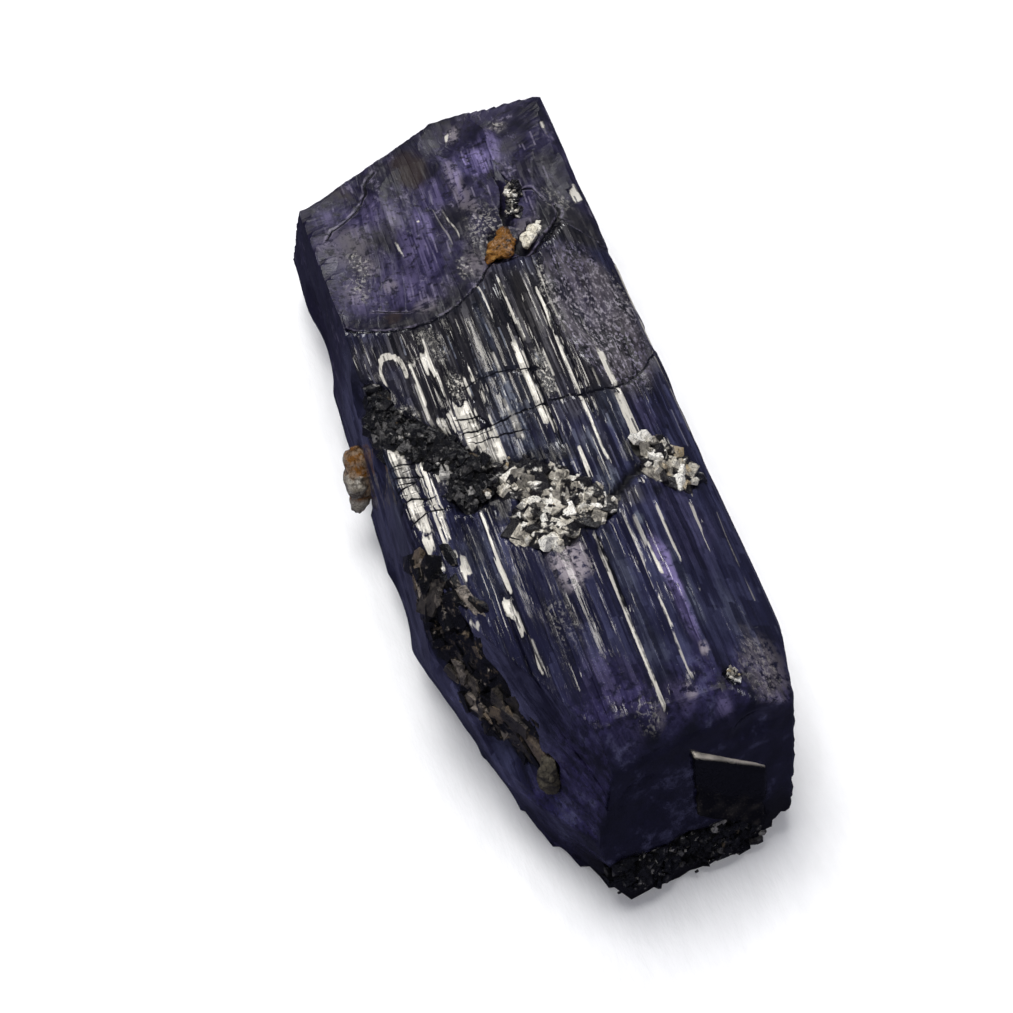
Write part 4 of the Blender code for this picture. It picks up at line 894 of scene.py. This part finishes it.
def brokenSkinGroup():
    # Small sharp-edged flakes and crumbs: cells with dark borders over layered noise, as a mask, a level and a height
    group, given, result = newGroup(
        "brokenSkin",
        [("Place", "NodeSocketVector", None), ("Size", "NodeSocketFloat", 0.6)],
        [("Flakes", "NodeSocketFloat"), ("Gaps", "NodeSocketFloat"), ("Specks", "NodeSocketFloat"), ("Height", "NodeSocketFloat")],
    )
    scale = maths(group, "DIVIDE", 1.0, given["Size"])
    wander = addNode(group, "ShaderNodeTexNoise")
    feed(group, wander.inputs["Vector"], given["Place"])
    feed(group, wander.inputs["Scale"], maths(group, "MULTIPLY", scale, 1.3))
    bent = addNode(group, "ShaderNodeVectorMath", operation="MULTIPLY_ADD")
    feed(group, bent.inputs[0], wander.outputs["Color"])
    feed(group, bent.inputs[1], (0.35, 0.35, 0.35))
    feed(group, bent.inputs[2], given["Place"])
    cells = addNode(group, "ShaderNodeTexVoronoi", feature="F1")
    feed(group, cells.inputs["Vector"], bent.outputs[0])
    feed(group, cells.inputs["Scale"], scale)
    borders = addNode(group, "ShaderNodeTexVoronoi", feature="DISTANCE_TO_EDGE")
    feed(group, borders.inputs["Vector"], bent.outputs[0])
    feed(group, borders.inputs["Scale"], scale)
    value = addNode(group, "ShaderNodeSeparateColor")
    feed(group, value.inputs[0], cells.outputs["Color"])
    feed(group, result["Flakes"], value.outputs[0])
    gaps = spread(group, borders.outputs["Distance"], 0.0, 0.07, 1.0, 0.0)
    feed(group, result["Gaps"], gaps)
    crumbs = noise(group, given["Place"], maths(group, "MULTIPLY", scale, 3.5), 4.0, 0.65)
    feed(group, result["Specks"], spread(group, crumbs, 0.58, 0.70))
    level = maths(group, "MULTIPLY_ADD", value.outputs[0], 0.6)
    level.node.inputs[2].default_value = 0.0
    feed(group, result["Height"], maths(group, "ADD", maths(group, "SUBTRACT", level, maths(group, "MULTIPLY", gaps, 0.4)), maths(group, "MULTIPLY", crumbs, 0.5)))
    return group


def useGroup(tree, group, **values):
    node = addNode(tree, "ShaderNodeGroup", node_tree=group)
    for label, value in values.items():
        feed(tree, node.inputs[label], value)
    return node.outputs


def startMaterial(name):
    material = bpy.data.materials.new(name)
    material.use_nodes = True
    tree = material.node_tree
    shader = tree.nodes["Principled BSDF"]
    place = addNode(tree, "ShaderNodeTexCoord").outputs["Object"]
    return material, tree, shader, stretched(tree, place, (1000.0, 1000.0, 1000.0))


def readMask(tree, name):
    attribute = addNode(tree, "ShaderNodeAttribute", attribute_name=name)
    parts = addNode(tree, "ShaderNodeSeparateColor")
    feed(tree, parts.inputs[0], attribute.outputs["Color"])
    return list(parts.outputs) + [attribute.outputs["Alpha"]]


def addBump(tree, shader, height, distance, strength=1.0):
    bump = addNode(tree, "ShaderNodeBump")
    feed(tree, bump.inputs["Height"], height)
    bump.inputs["Distance"].default_value = distance * mm
    bump.inputs["Strength"].default_value = strength
    tree.links.new(bump.outputs["Normal"], shader.inputs["Normal"])


growthLines = growthLinesGroup()
brokenSkin = brokenSkinGroup()

tanzaniteLook = {
    "navyDark": (0.003, 0.003, 0.010), "navy": (0.016, 0.016, 0.046), "navyPale": (0.085, 0.090, 0.185),
    "charcoalDark": (0.005, 0.005, 0.005), "charcoal": (0.036, 0.033, 0.032), "charcoalPale": (0.26, 0.25, 0.25),
    "blueDark": (0.008, 0.010, 0.018), "blue": (0.052, 0.060, 0.092), "bluePale": (0.32, 0.35, 0.42),
    "violet": (0.36, 0.30, 0.60), "violetDark": (0.050, 0.040, 0.13), "sidePale": (0.155, 0.155, 0.29), "sideDark": (0.012, 0.011, 0.036),
    "purpleDark": (0.005, 0.004, 0.012), "purple": (0.016, 0.012, 0.042), "purplePale": (0.056, 0.047, 0.118), "lilac": (0.36, 0.32, 0.44),
    "frosted": (0.50, 0.44, 0.48), "mauve": (0.17, 0.15, 0.17), "brown": (0.034, 0.021, 0.017),
    "cream": (1.0, 0.95, 0.83), "black": (0.002, 0.002, 0.004), "tip": (0.012, 0.011, 0.012),
    "transmission": 0.40, "refraction": 1.69, "absorbColour": (0.24, 0.20, 0.78), "absorbPerMetre": 420.0,
}


def tanzaniteMaterial():
    look = tanzaniteLook
    material, tree, shader, place = startMaterial("tanzaniteCrystal")
    broken, violet, rough, blueAndReflection = readMask(tree, "zones")
    paleAndGlint, hollow, tip, lilac = readMask(tree, "marks")
    charcoal, brown, lace, glintSteps = readMask(tree, "stainsAndGlint")
    crackSide, crackNear, black, _ = readMask(tree, "cracks")
    endZone, nearFace, longFace, edgeWear = readMask(tree, "ends")
    along = addNode(tree, "ShaderNodeSeparateXYZ")
    feed(tree, along.inputs[0], place)
    facing = addNode(tree, "ShaderNodeSeparateXYZ")
    feed(tree, facing.inputs[0], addNode(tree, "ShaderNodeNewGeometry").outputs["True Normal"])
    lines = useGroup(tree, growthLines, Place=place, Width=0.075, Length=1.6)
    bars = useGroup(tree, growthLines, Place=place, Width=0.21, Length=5.0)
    wide = useGroup(tree, growthLines, Place=place, Width=0.60, Length=9.0)
    cloud = noise(tree, place, 0.55, 5.0, 0.62)
    fleck = noise(tree, place, 3.2, 5.0, 0.7)
    crumb = noise(tree, stretched(tree, place, (1.0, 0.7, 1.0)), 6.5, 6.0, 0.74)
    wisps = noise(tree, stretched(tree, place, (1.0, 0.45, 1.0)), 1.5, 5.0, 0.68)

    def times(first, second):
        return maths(tree, "MULTIPLY", first, second)

    def plus(first, second):
        return maths(tree, "ADD", first, second)

    # striated faces: crisp steps of different tone over slow clouds
    calm = spread(tree, along.outputs[1], -3.6, -8.0)
    fineTone = plus(times(lines["Blocks"], 0.30), plus(times(bars["Blocks"], 0.38), times(cloud, 0.40)))
    calmTone = plus(plus(times(lines["Blocks"], 0.16), times(bars["Blocks"], 0.28)), plus(times(wide["Blocks"], 0.20), times(cloud, 0.48)))
    tone = blendValue(tree, calm, fineTone, calmTone)
    colour = ramp(tree, tone, [(0.28, look["navyDark"]), (0.58, look["navy"]), (0.92, look["navyPale"])])
    grey = ramp(tree, tone, [(0.30, look["charcoalDark"]), (0.60, look["charcoal"]), (0.94, look["charcoalPale"])])
    blue = ramp(tree, tone, [(0.25, look["blueDark"]), (0.55, look["blue"]), (0.88, look["bluePale"])])
    colour = blendColour(tree, charcoal, colour, grey)
    mauve = blendColour(tree, spread(tree, wisps, 0.40, 0.62), look["charcoalDark"], look["mauve"])
    mauve = blendColour(tree, spread(tree, crumb, 0.525, 0.575), mauve, look["lilac"])
    colour = blendColour(tree, rough, colour, mauve)
    # painted reflection: steel blue steps on the top, and the blue patches of the left side
    colour = blendColour(tree, times(blueAndReflection, spread(tree, fleck, 0.34, 0.50)), colour, blue)

    # the broken part: grey violet with wisps and flecks
    purple = ramp(tree, plus(times(cloud, 0.6), times(wisps, 0.4)),
                  [(0.38, look["purpleDark"]), (0.50, look["purple"]), (0.64, look["purplePale"])])
    purple = blendColour(tree, times(charcoal, 0.9), purple, grey)
    purple = blendColour(tree, times(spread(tree, wisps, 0.55, 0.68), spread(tree, crumb, 0.47, 0.57, 0.0, 0.65)), purple, look["lilac"])
    purple = blendColour(tree, spread(tree, fleck, 0.48, 0.40, 0.0, 0.85), purple, look["purpleDark"])
    purple = blendColour(tree, times(spread(tree, lines["Blocks"], 0.93, 0.96), spread(tree, cloud, 0.50, 0.60, 0.0, 0.5)), purple, look["lilac"])
    colour = blendColour(tree, broken, colour, purple)

    # the sides: deep blue violet, mottled, picked by the surface's facing and painted paler as painted light where
    # little light falls on the steep sides
    litSideTone = ramp(tree, plus(plus(times(cloud, 0.55), times(wisps, 0.35)), times(bars["Blocks"], 0.12)),
                    [(0.40, look["sideDark"]), (0.66, look["sidePale"])])
    sideward = spread(tree, facing.outputs[2], 0.45, 0.20)
    litSideShare = times(sideward, maths(tree, "SUBTRACT", 1.0, maths(tree, "MAXIMUM", blueAndReflection, broken)))
    colour = blendColour(tree, litSideShare, colour, litSideTone)

    # the mottled end
    mottled = ramp(tree, plus(times(cloud, 0.5), times(wisps, 0.5)),
                   [(0.44, look["purpleDark"]), (0.53, look["violetDark"]), (0.64, look["sidePale"])])
    mottled = blendColour(tree, spread(tree, fleck, 0.48, 0.40, 0.0, 0.8), mottled, look["purpleDark"])
    colour = blendColour(tree, times(endZone, 0.85), colour, mottled)
    violetTone = blendColour(tree, spread(tree, tone, 0.35, 0.80), look["violetDark"], look["violet"])
    colour = blendColour(tree, times(violet, spread(tree, fleck, 0.34, 0.52)), colour, violetTone)
    colour = blendColour(tree, times(lilac, spread(tree, fleck, 0.40, 0.54)), colour, look["frosted"])
    colour = blendColour(tree, times(brown, spread(tree, wisps, 0.30, 0.45)), colour, look["brown"])
    colour = blendColour(tree, times(lace, spread(tree, crumb, 0.52, 0.44, 0.0, 0.9)), colour, look["charcoalDark"])
    colour = blendColour(tree, times(lace, spread(tree, crumb, 0.53, 0.57)), colour, look["cream"])

    # cream marks, split by dark hairlines: the crystal's pale films and grains together with painted highlights of the
    # striations
    split = spread(tree, plus(times(lines["Blocks"], 0.55), times(crumb, 0.45)), 0.24, 0.40, 0.15, 1.0)
    creamAndGlintMask = times(spread(tree, paleAndGlint, 0.30, 0.62), split)
    colour = blendColour(tree, creamAndGlintMask, colour, look["cream"])
    # painted glint: the narrow steps that lean at the light are also painted cream, over their real lean
    colour = blendColour(tree, times(glintSteps, 0.35), colour, look["cream"])
    lined = times(maths(tree, "SUBTRACT", 1.0, maths(tree, "MAXIMUM", broken, rough)), longFace)
    slits = times(times(lines["Slits"], maths(tree, "SUBTRACT", 0.65, times(calm, 0.4))), maths(tree, "MAXIMUM", lined, 0.1))
    colour = blendColour(tree, slits, colour, look["black"])
    hairs = times(spread(tree, lines["Blocks"], 0.95, 0.97), times(lined, spread(tree, cloud, 0.50, 0.62)))
    hairShare = times(maths(tree, "MAXIMUM", charcoal, blueAndReflection), 0.55)
    colour = blendColour(tree, times(hairs, plus(hairShare, 0.10)), colour, look["bluePale"])

    crackReach = maths(tree, "ABSOLUTE", maths(tree, "SUBTRACT", plus(crackSide, times(crumb, 0.05)), 0.525))
    crack = times(crackNear, spread(tree, crackReach, 0.055, 0.025))
    lip = times(times(crackNear, broken), spread(tree, maths(tree, "ABSOLUTE", maths(tree, "SUBTRACT", crackReach, 0.10)), 0.05, 0.01, 0.0, 0.6))
    colour = blendColour(tree, times(lip, spread(tree, fleck, 0.4, 0.6)), colour, look["lilac"])
    colour = blendColour(tree, crack, colour, look["black"])
    colour = blendColour(tree, hollow, colour, look["black"])
    colour = blendColour(tree, times(black, spread(tree, wisps, 0.62, 0.50)), colour, look["black"])
    # the near end face, picked by its facing: mottled navy and violet, painted darker as painted shade for the face the
    # main light misses
    nearShadedTone = ramp(tree, plus(times(cloud, 0.5), times(wisps, 0.5)), [(0.40, look["navyDark"]), (0.55, look["sideDark"]), (0.68, look["sidePale"])])
    colour = blendColour(tree, times(nearFace, 0.95), colour, nearShadedTone)
    colour = blendColour(tree, times(tip, 0.9), colour, look["tip"])
    feed(tree, shader.inputs["Base Color"], colour)

    roughness = blendValue(tree, wide["Lines"], 0.07, 0.15)
    roughness = blendValue(tree, broken, roughness, spread(tree, wisps, 0.4, 0.7, 0.38, 0.58))
    roughness = blendValue(tree, rough, roughness, 0.42)
    roughness = blendValue(tree, maths(tree, "MAXIMUM", tip, hollow), roughness, 0.6)
    roughness = blendValue(tree, edgeWear, roughness, 0.45)
    roughness = blendValue(tree, times(black, 0.8), roughness, 0.30)
    feed(tree, shader.inputs["Roughness"], roughness)
    shader.inputs["Transmission Weight"].default_value = look["transmission"]
    shader.inputs["IOR"].default_value = look["refraction"]
    height = plus(times(lines["Height"], 0.07), times(wisps, maths(tree, "MAXIMUM", times(maths(tree, "MAXIMUM", broken, endZone), 0.5), rough)))
    height = plus(height, times(crumb, maths(tree, "MAXIMUM", times(lace, 0.7), tip)))
    height = plus(height, times(wisps, times(black, 1.2)))
    height = maths(tree, "SUBTRACT", height, times(crack, 1.5))
    addBump(tree, shader, height, 0.06, 0.6)
    volume = addNode(tree, "ShaderNodeVolumeAbsorption")
    volume.inputs["Color"].default_value = (*look["absorbColour"], 1.0)
    volume.inputs["Density"].default_value = look["absorbPerMetre"]
    tree.links.new(volume.outputs[0], tree.nodes["Material Output"].inputs["Volume"])
    return material


mineralLooks = {
    # pale and dark chips, stained chips, roughness, bump in mm
    "calcite": dict(pale=[(0.20, (0.18, 0.165, 0.14)), (0.50, (0.60, 0.55, 0.45)), (0.85, (1.0, 0.97, 0.88))],
                    dark=(0.010, 0.009, 0.010), stain=(0.40, 0.31, 0.18), roughness=0.30, bump=0.04),
    "graphite": dict(pale=[(0.2, (0.035, 0.033, 0.032)), (0.7, (0.13, 0.125, 0.12)), (0.95, (0.50, 0.48, 0.44))],
                     dark=(0.006, 0.006, 0.006), stain=(0.10, 0.072, 0.040), roughness=0.28, bump=0.04),
    "tornGraphite": dict(pale=[(0.15, (0.012, 0.011, 0.010)), (0.55, (0.070, 0.060, 0.051)), (0.9, (0.34, 0.29, 0.24))],
                         dark=(0.003, 0.003, 0.003), stain=(0.15, 0.115, 0.080), roughness=0.34, bump=0.05),
    "creamGrain": dict(pale=[(0.15, (0.30, 0.26, 0.19)), (0.45, (0.86, 0.80, 0.64)), (0.85, (1.0, 0.97, 0.86))],
                       dark=(0.03, 0.024, 0.018), stain=(0.34, 0.23, 0.10), roughness=0.25, bump=0.04),
    "iron_stain": dict(pale=[(0.2, (0.05, 0.02, 0.003)), (0.5, (0.24, 0.10, 0.014)), (0.85, (0.72, 0.42, 0.12))],
                       dark=(0.016, 0.007, 0.002), stain=(0.22, 0.095, 0.014), roughness=0.30, bump=0.03),
    "clear_grain": dict(pale=[(0.2, (0.42, 0.38, 0.30)), (0.6, (0.66, 0.60, 0.49)), (0.95, (0.90, 0.86, 0.76))],
                        dark=(0.05, 0.03, 0.012), stain=(0.30, 0.12, 0.015), roughness=0.16, bump=0.03),
    "brown_rock": dict(pale=[(0.2, (0.030, 0.027, 0.019)), (0.6, (0.075, 0.065, 0.046)), (0.95, (0.20, 0.18, 0.13))],
                       dark=(0.008, 0.007, 0.006), stain=(0.09, 0.06, 0.03), roughness=0.45, bump=0.05),
}


def mineralMaterial(slot):
    look = mineralLooks[slot]
    material, tree, shader, place = startMaterial(slot + "Chips")
    tone, dark, stain, _ = readMask(tree, "chip")
    skin = useGroup(tree, brokenSkin, Place=place, Size=0.18)
    cloud = noise(tree, place, 3.0, 4.0, 0.6)
    mixed = maths(tree, "ADD", maths(tree, "MULTIPLY", tone, 0.65), maths(tree, "MULTIPLY", spread(tree, cloud, 0.3, 0.7), 0.35))
    colour = ramp(tree, mixed, look["pale"])
    colour = blendColour(tree, maths(tree, "MULTIPLY", stain, spread(tree, cloud, 0.35, 0.6, 0.5, 1.0)), colour, look["stain"])
    colour = blendColour(tree, maths(tree, "MULTIPLY", dark, spread(tree, cloud, 0.68, 0.56)), colour, look["dark"])
    colour = blendColour(tree, maths(tree, "MULTIPLY", skin["Gaps"], 0.75), colour, look["dark"])
    feed(tree, shader.inputs["Base Color"], colour)
    feed(tree, shader.inputs["Roughness"], spread(tree, cloud, 0.3, 0.7, look["roughness"] * 0.6, look["roughness"] * 1.5))
    shader.inputs["IOR"].default_value = 1.66
    if slot == "clear_grain":
        shader.inputs["Transmission Weight"].default_value = 0.35
    addBump(tree, shader, skin["Height"], look["bump"], 0.8)
    return material


def plateMaterial():
    material, tree, shader, place = startMaterial("graphitePlate")
    rough, rimHighlight, patch, _ = readMask(tree, "chip")
    skin = useGroup(tree, brokenSkin, Place=place, Size=0.30)
    dust = maths(tree, "MULTIPLY", rough, spread(tree, maths(tree, "ADD", patch, skin["Specks"]), 0.5, 1.3))
    colour = blendColour(tree, dust, (0.002, 0.002, 0.002), (0.080, 0.070, 0.058))
    # painted highlight: a thin cream line along the plate's top rim
    colour = blendColour(tree, maths(tree, "MULTIPLY", rimHighlight, spread(tree, patch, 0.1, 0.5, 0.5, 1.0)), colour, (0.95, 0.86, 0.70))
    feed(tree, shader.inputs["Base Color"], colour)
    feed(tree, shader.inputs["Roughness"], blendValue(tree, rough, 0.22, 0.6))
    shader.inputs["IOR"].default_value = 1.45
    addBump(tree, shader, skin["Height"], 0.05, 0.6)
    return material


# Pieces

surface, masks, flatNormal = crystalSurface()
crystalPiece = closedGrid("tanzaniteCrystal", surface, masks)
crystalPiece.data.materials.append(tanzaniteMaterial())
facing = np.zeros(3 * len(crystalPiece.data.polygons))
crystalPiece.data.polygons.foreach_get("normal", facing)
crystalPiece.data.polygons.foreach_set("use_smooth", np.abs(facing[1::3]) > 0.55)
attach(crystalPiece, bodyName)
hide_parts("tanzanite_crystal")
print("crystal:", len(crystalPiece.data.vertices), "points")

mineralMaterials = {slot: mineralMaterial(slot) for slot in mineralLooks}
for number, (name, grain) in enumerate(grains.items()):
    if "radii" in grain:
        chips = lumpSurface(name + "_lump", grain, 100 + number)
        chips.data.shade_smooth()
    else:
        chips = chipCloud(name + "_chips", grain, 100 + number)
        chips.data.shade_flat()
    chips.data.materials.append(mineralMaterials[grain.get("look", grain["slot"])])
    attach(chips, bodyName)
    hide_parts(name)
plateObject = plateSurface()
plateObject.data.materials.append(plateMaterial())
plateObject.data.shade_smooth()
plateObject.data.set_sharp_from_angle(angle=math.radians(30))
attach(plateObject, bodyName)
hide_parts("graphite_plate")
print("grains:", len(grains) + 1)

# Floor, light and camera

stageSettings = {
    "floorSize": 1400.0, "floorTone": 0.90, "floorBounce": (0.045, 0.045, 0.080), "floorGlow": 0.10,
    "worldTone": (0.075, 0.078, 0.120), "skyTone": (0.93, 0.93, 0.93),
    "overheadFrom": (-0.10, 0.32, 0.94), "overheadStrength": 3.0, "overheadAngle": 34.0,
    "fillFrom": (-0.50, -0.74, 0.45), "fillStrength": 0.75, "fillAngle": 60.0,
    "glintFrom": (0.45, 0.75, 0.48), "glintStrength": 0.40, "glintAngle": 16.0,
    "softboxFrom": (0.076, 0.545, 0.834), "softboxDistance": 300.0, "softboxSize": 50.0, "softboxPower": 0.055,
    "softboxColour": (1.0, 0.96, 0.88),
}
cameraSettings = {"azimuth": -18.0, "elevation": 55.0, "distance": 110.0, "target": (-1.10, -2.10, 4.5), "lens": 97.7}


def floorObject():
    half = stageSettings["floorSize"] / 2
    corners = np.array([[-half, -half, 0], [half, -half, 0], [half, half, 0], [-half, half, 0]])
    floor = makePiece("paleFloor", corners - framePlace - [0, 0, 0.01], np.array([[0, 1, 2, 3]]), np.zeros((0, 3), dtype=int))
    material, tree, shader, place = startMaterial("whitePaper")
    turned = addNode(tree, "ShaderNodeMapping")
    feed(tree, turned.inputs["Vector"], place)
    turned.inputs["Rotation"].default_value = (0, 0, math.radians(18))
    turned.inputs["Scale"].default_value = (1.9, 0.55, 1.0)
    fibres = noise(tree, turned.outputs[0], 1.0, 4.0, 0.6)
    tone = stageSettings["floorTone"]
    paper = ramp(tree, fibres, [(0.35, (tone * 0.955,) * 3), (0.6, (tone,) * 3)])
    seen = addNode(tree, "ShaderNodeLightPath").outputs["Is Camera Ray"]
    feed(tree, shader.inputs["Base Color"], blendColour(tree, seen, stageSettings["floorBounce"], paper))
    shader.inputs["Roughness"].default_value = 0.9
    feed(tree, shader.inputs["Emission Color"], blendColour(tree, seen, (0.0,) * 3, (1.0,) * 3))
    shader.inputs["Emission Strength"].default_value = stageSettings["floorGlow"]
    addBump(tree, shader, fibres, 0.10, 0.5)
    floor.data.materials.append(material)
    return floor


def addLights():
    settings = stageSettings
    world = bpy.data.worlds.new("softStudio")
    bpy.context.scene.world = world
    world.use_nodes = True
    tree = world.node_tree
    background = tree.nodes["Background"]
    seen = addNode(tree, "ShaderNodeLightPath").outputs["Is Camera Ray"]
    feed(tree, background.inputs["Color"], blendColour(tree, seen, settings["worldTone"], settings["skyTone"]))
    for name in ("overhead", "fill", "glint"):
        sun = bpy.data.lights.new(name, "SUN")
        sun.energy = settings[name + "Strength"]
        sun.angle = math.radians(settings[name + "Angle"])
        lamp = placeLight(sun, settings[name + "From"], 500.0)
        lamp.visible_glossy = lamp.visible_transmission = name == "glint"
    box = bpy.data.lights.new("softbox", "AREA")
    box.shape = "SQUARE"
    box.size = settings["softboxSize"] * mm
    box.energy = settings["softboxPower"]
    box.color = settings["softboxColour"]
    placeLight(box, settings["softboxFrom"], settings["softboxDistance"])


def placeLight(light, direction, distance):
    lamp = bpy.data.objects.new(light.name, light)
    bpy.context.scene.collection.objects.link(lamp)
    way = np.array(direction) / np.linalg.norm(direction)
    lamp.location = way * distance * mm
    lamp.rotation_euler = lamp.location.to_track_quat("Z", "Y").to_euler()
    return lamp


def addCamera():
    settings = cameraSettings
    azimuth, elevation = math.radians(settings["azimuth"]), math.radians(settings["elevation"])
    away = np.array([math.sin(azimuth) * math.cos(elevation), -math.cos(azimuth) * math.cos(elevation), math.sin(elevation)])
    data = bpy.data.cameras.new("photoCamera")
    data.lens = settings["lens"]
    data.sensor_width = 36.0
    data.clip_start = 0.001
    data.clip_end = 5.0
    camera = bpy.data.objects.new("photoCamera", data)
    bpy.context.scene.collection.objects.link(camera)
    camera.location = (np.array(settings["target"]) + away * settings["distance"]) * mm
    camera.rotation_euler = Vector(away).to_track_quat("Z", "Y").to_euler()
    bpy.context.scene.camera = camera


floorObject()
addLights()
addCamera()
bpy.context.scene.view_settings.view_transform = "Standard"
print("stage, light and camera set")
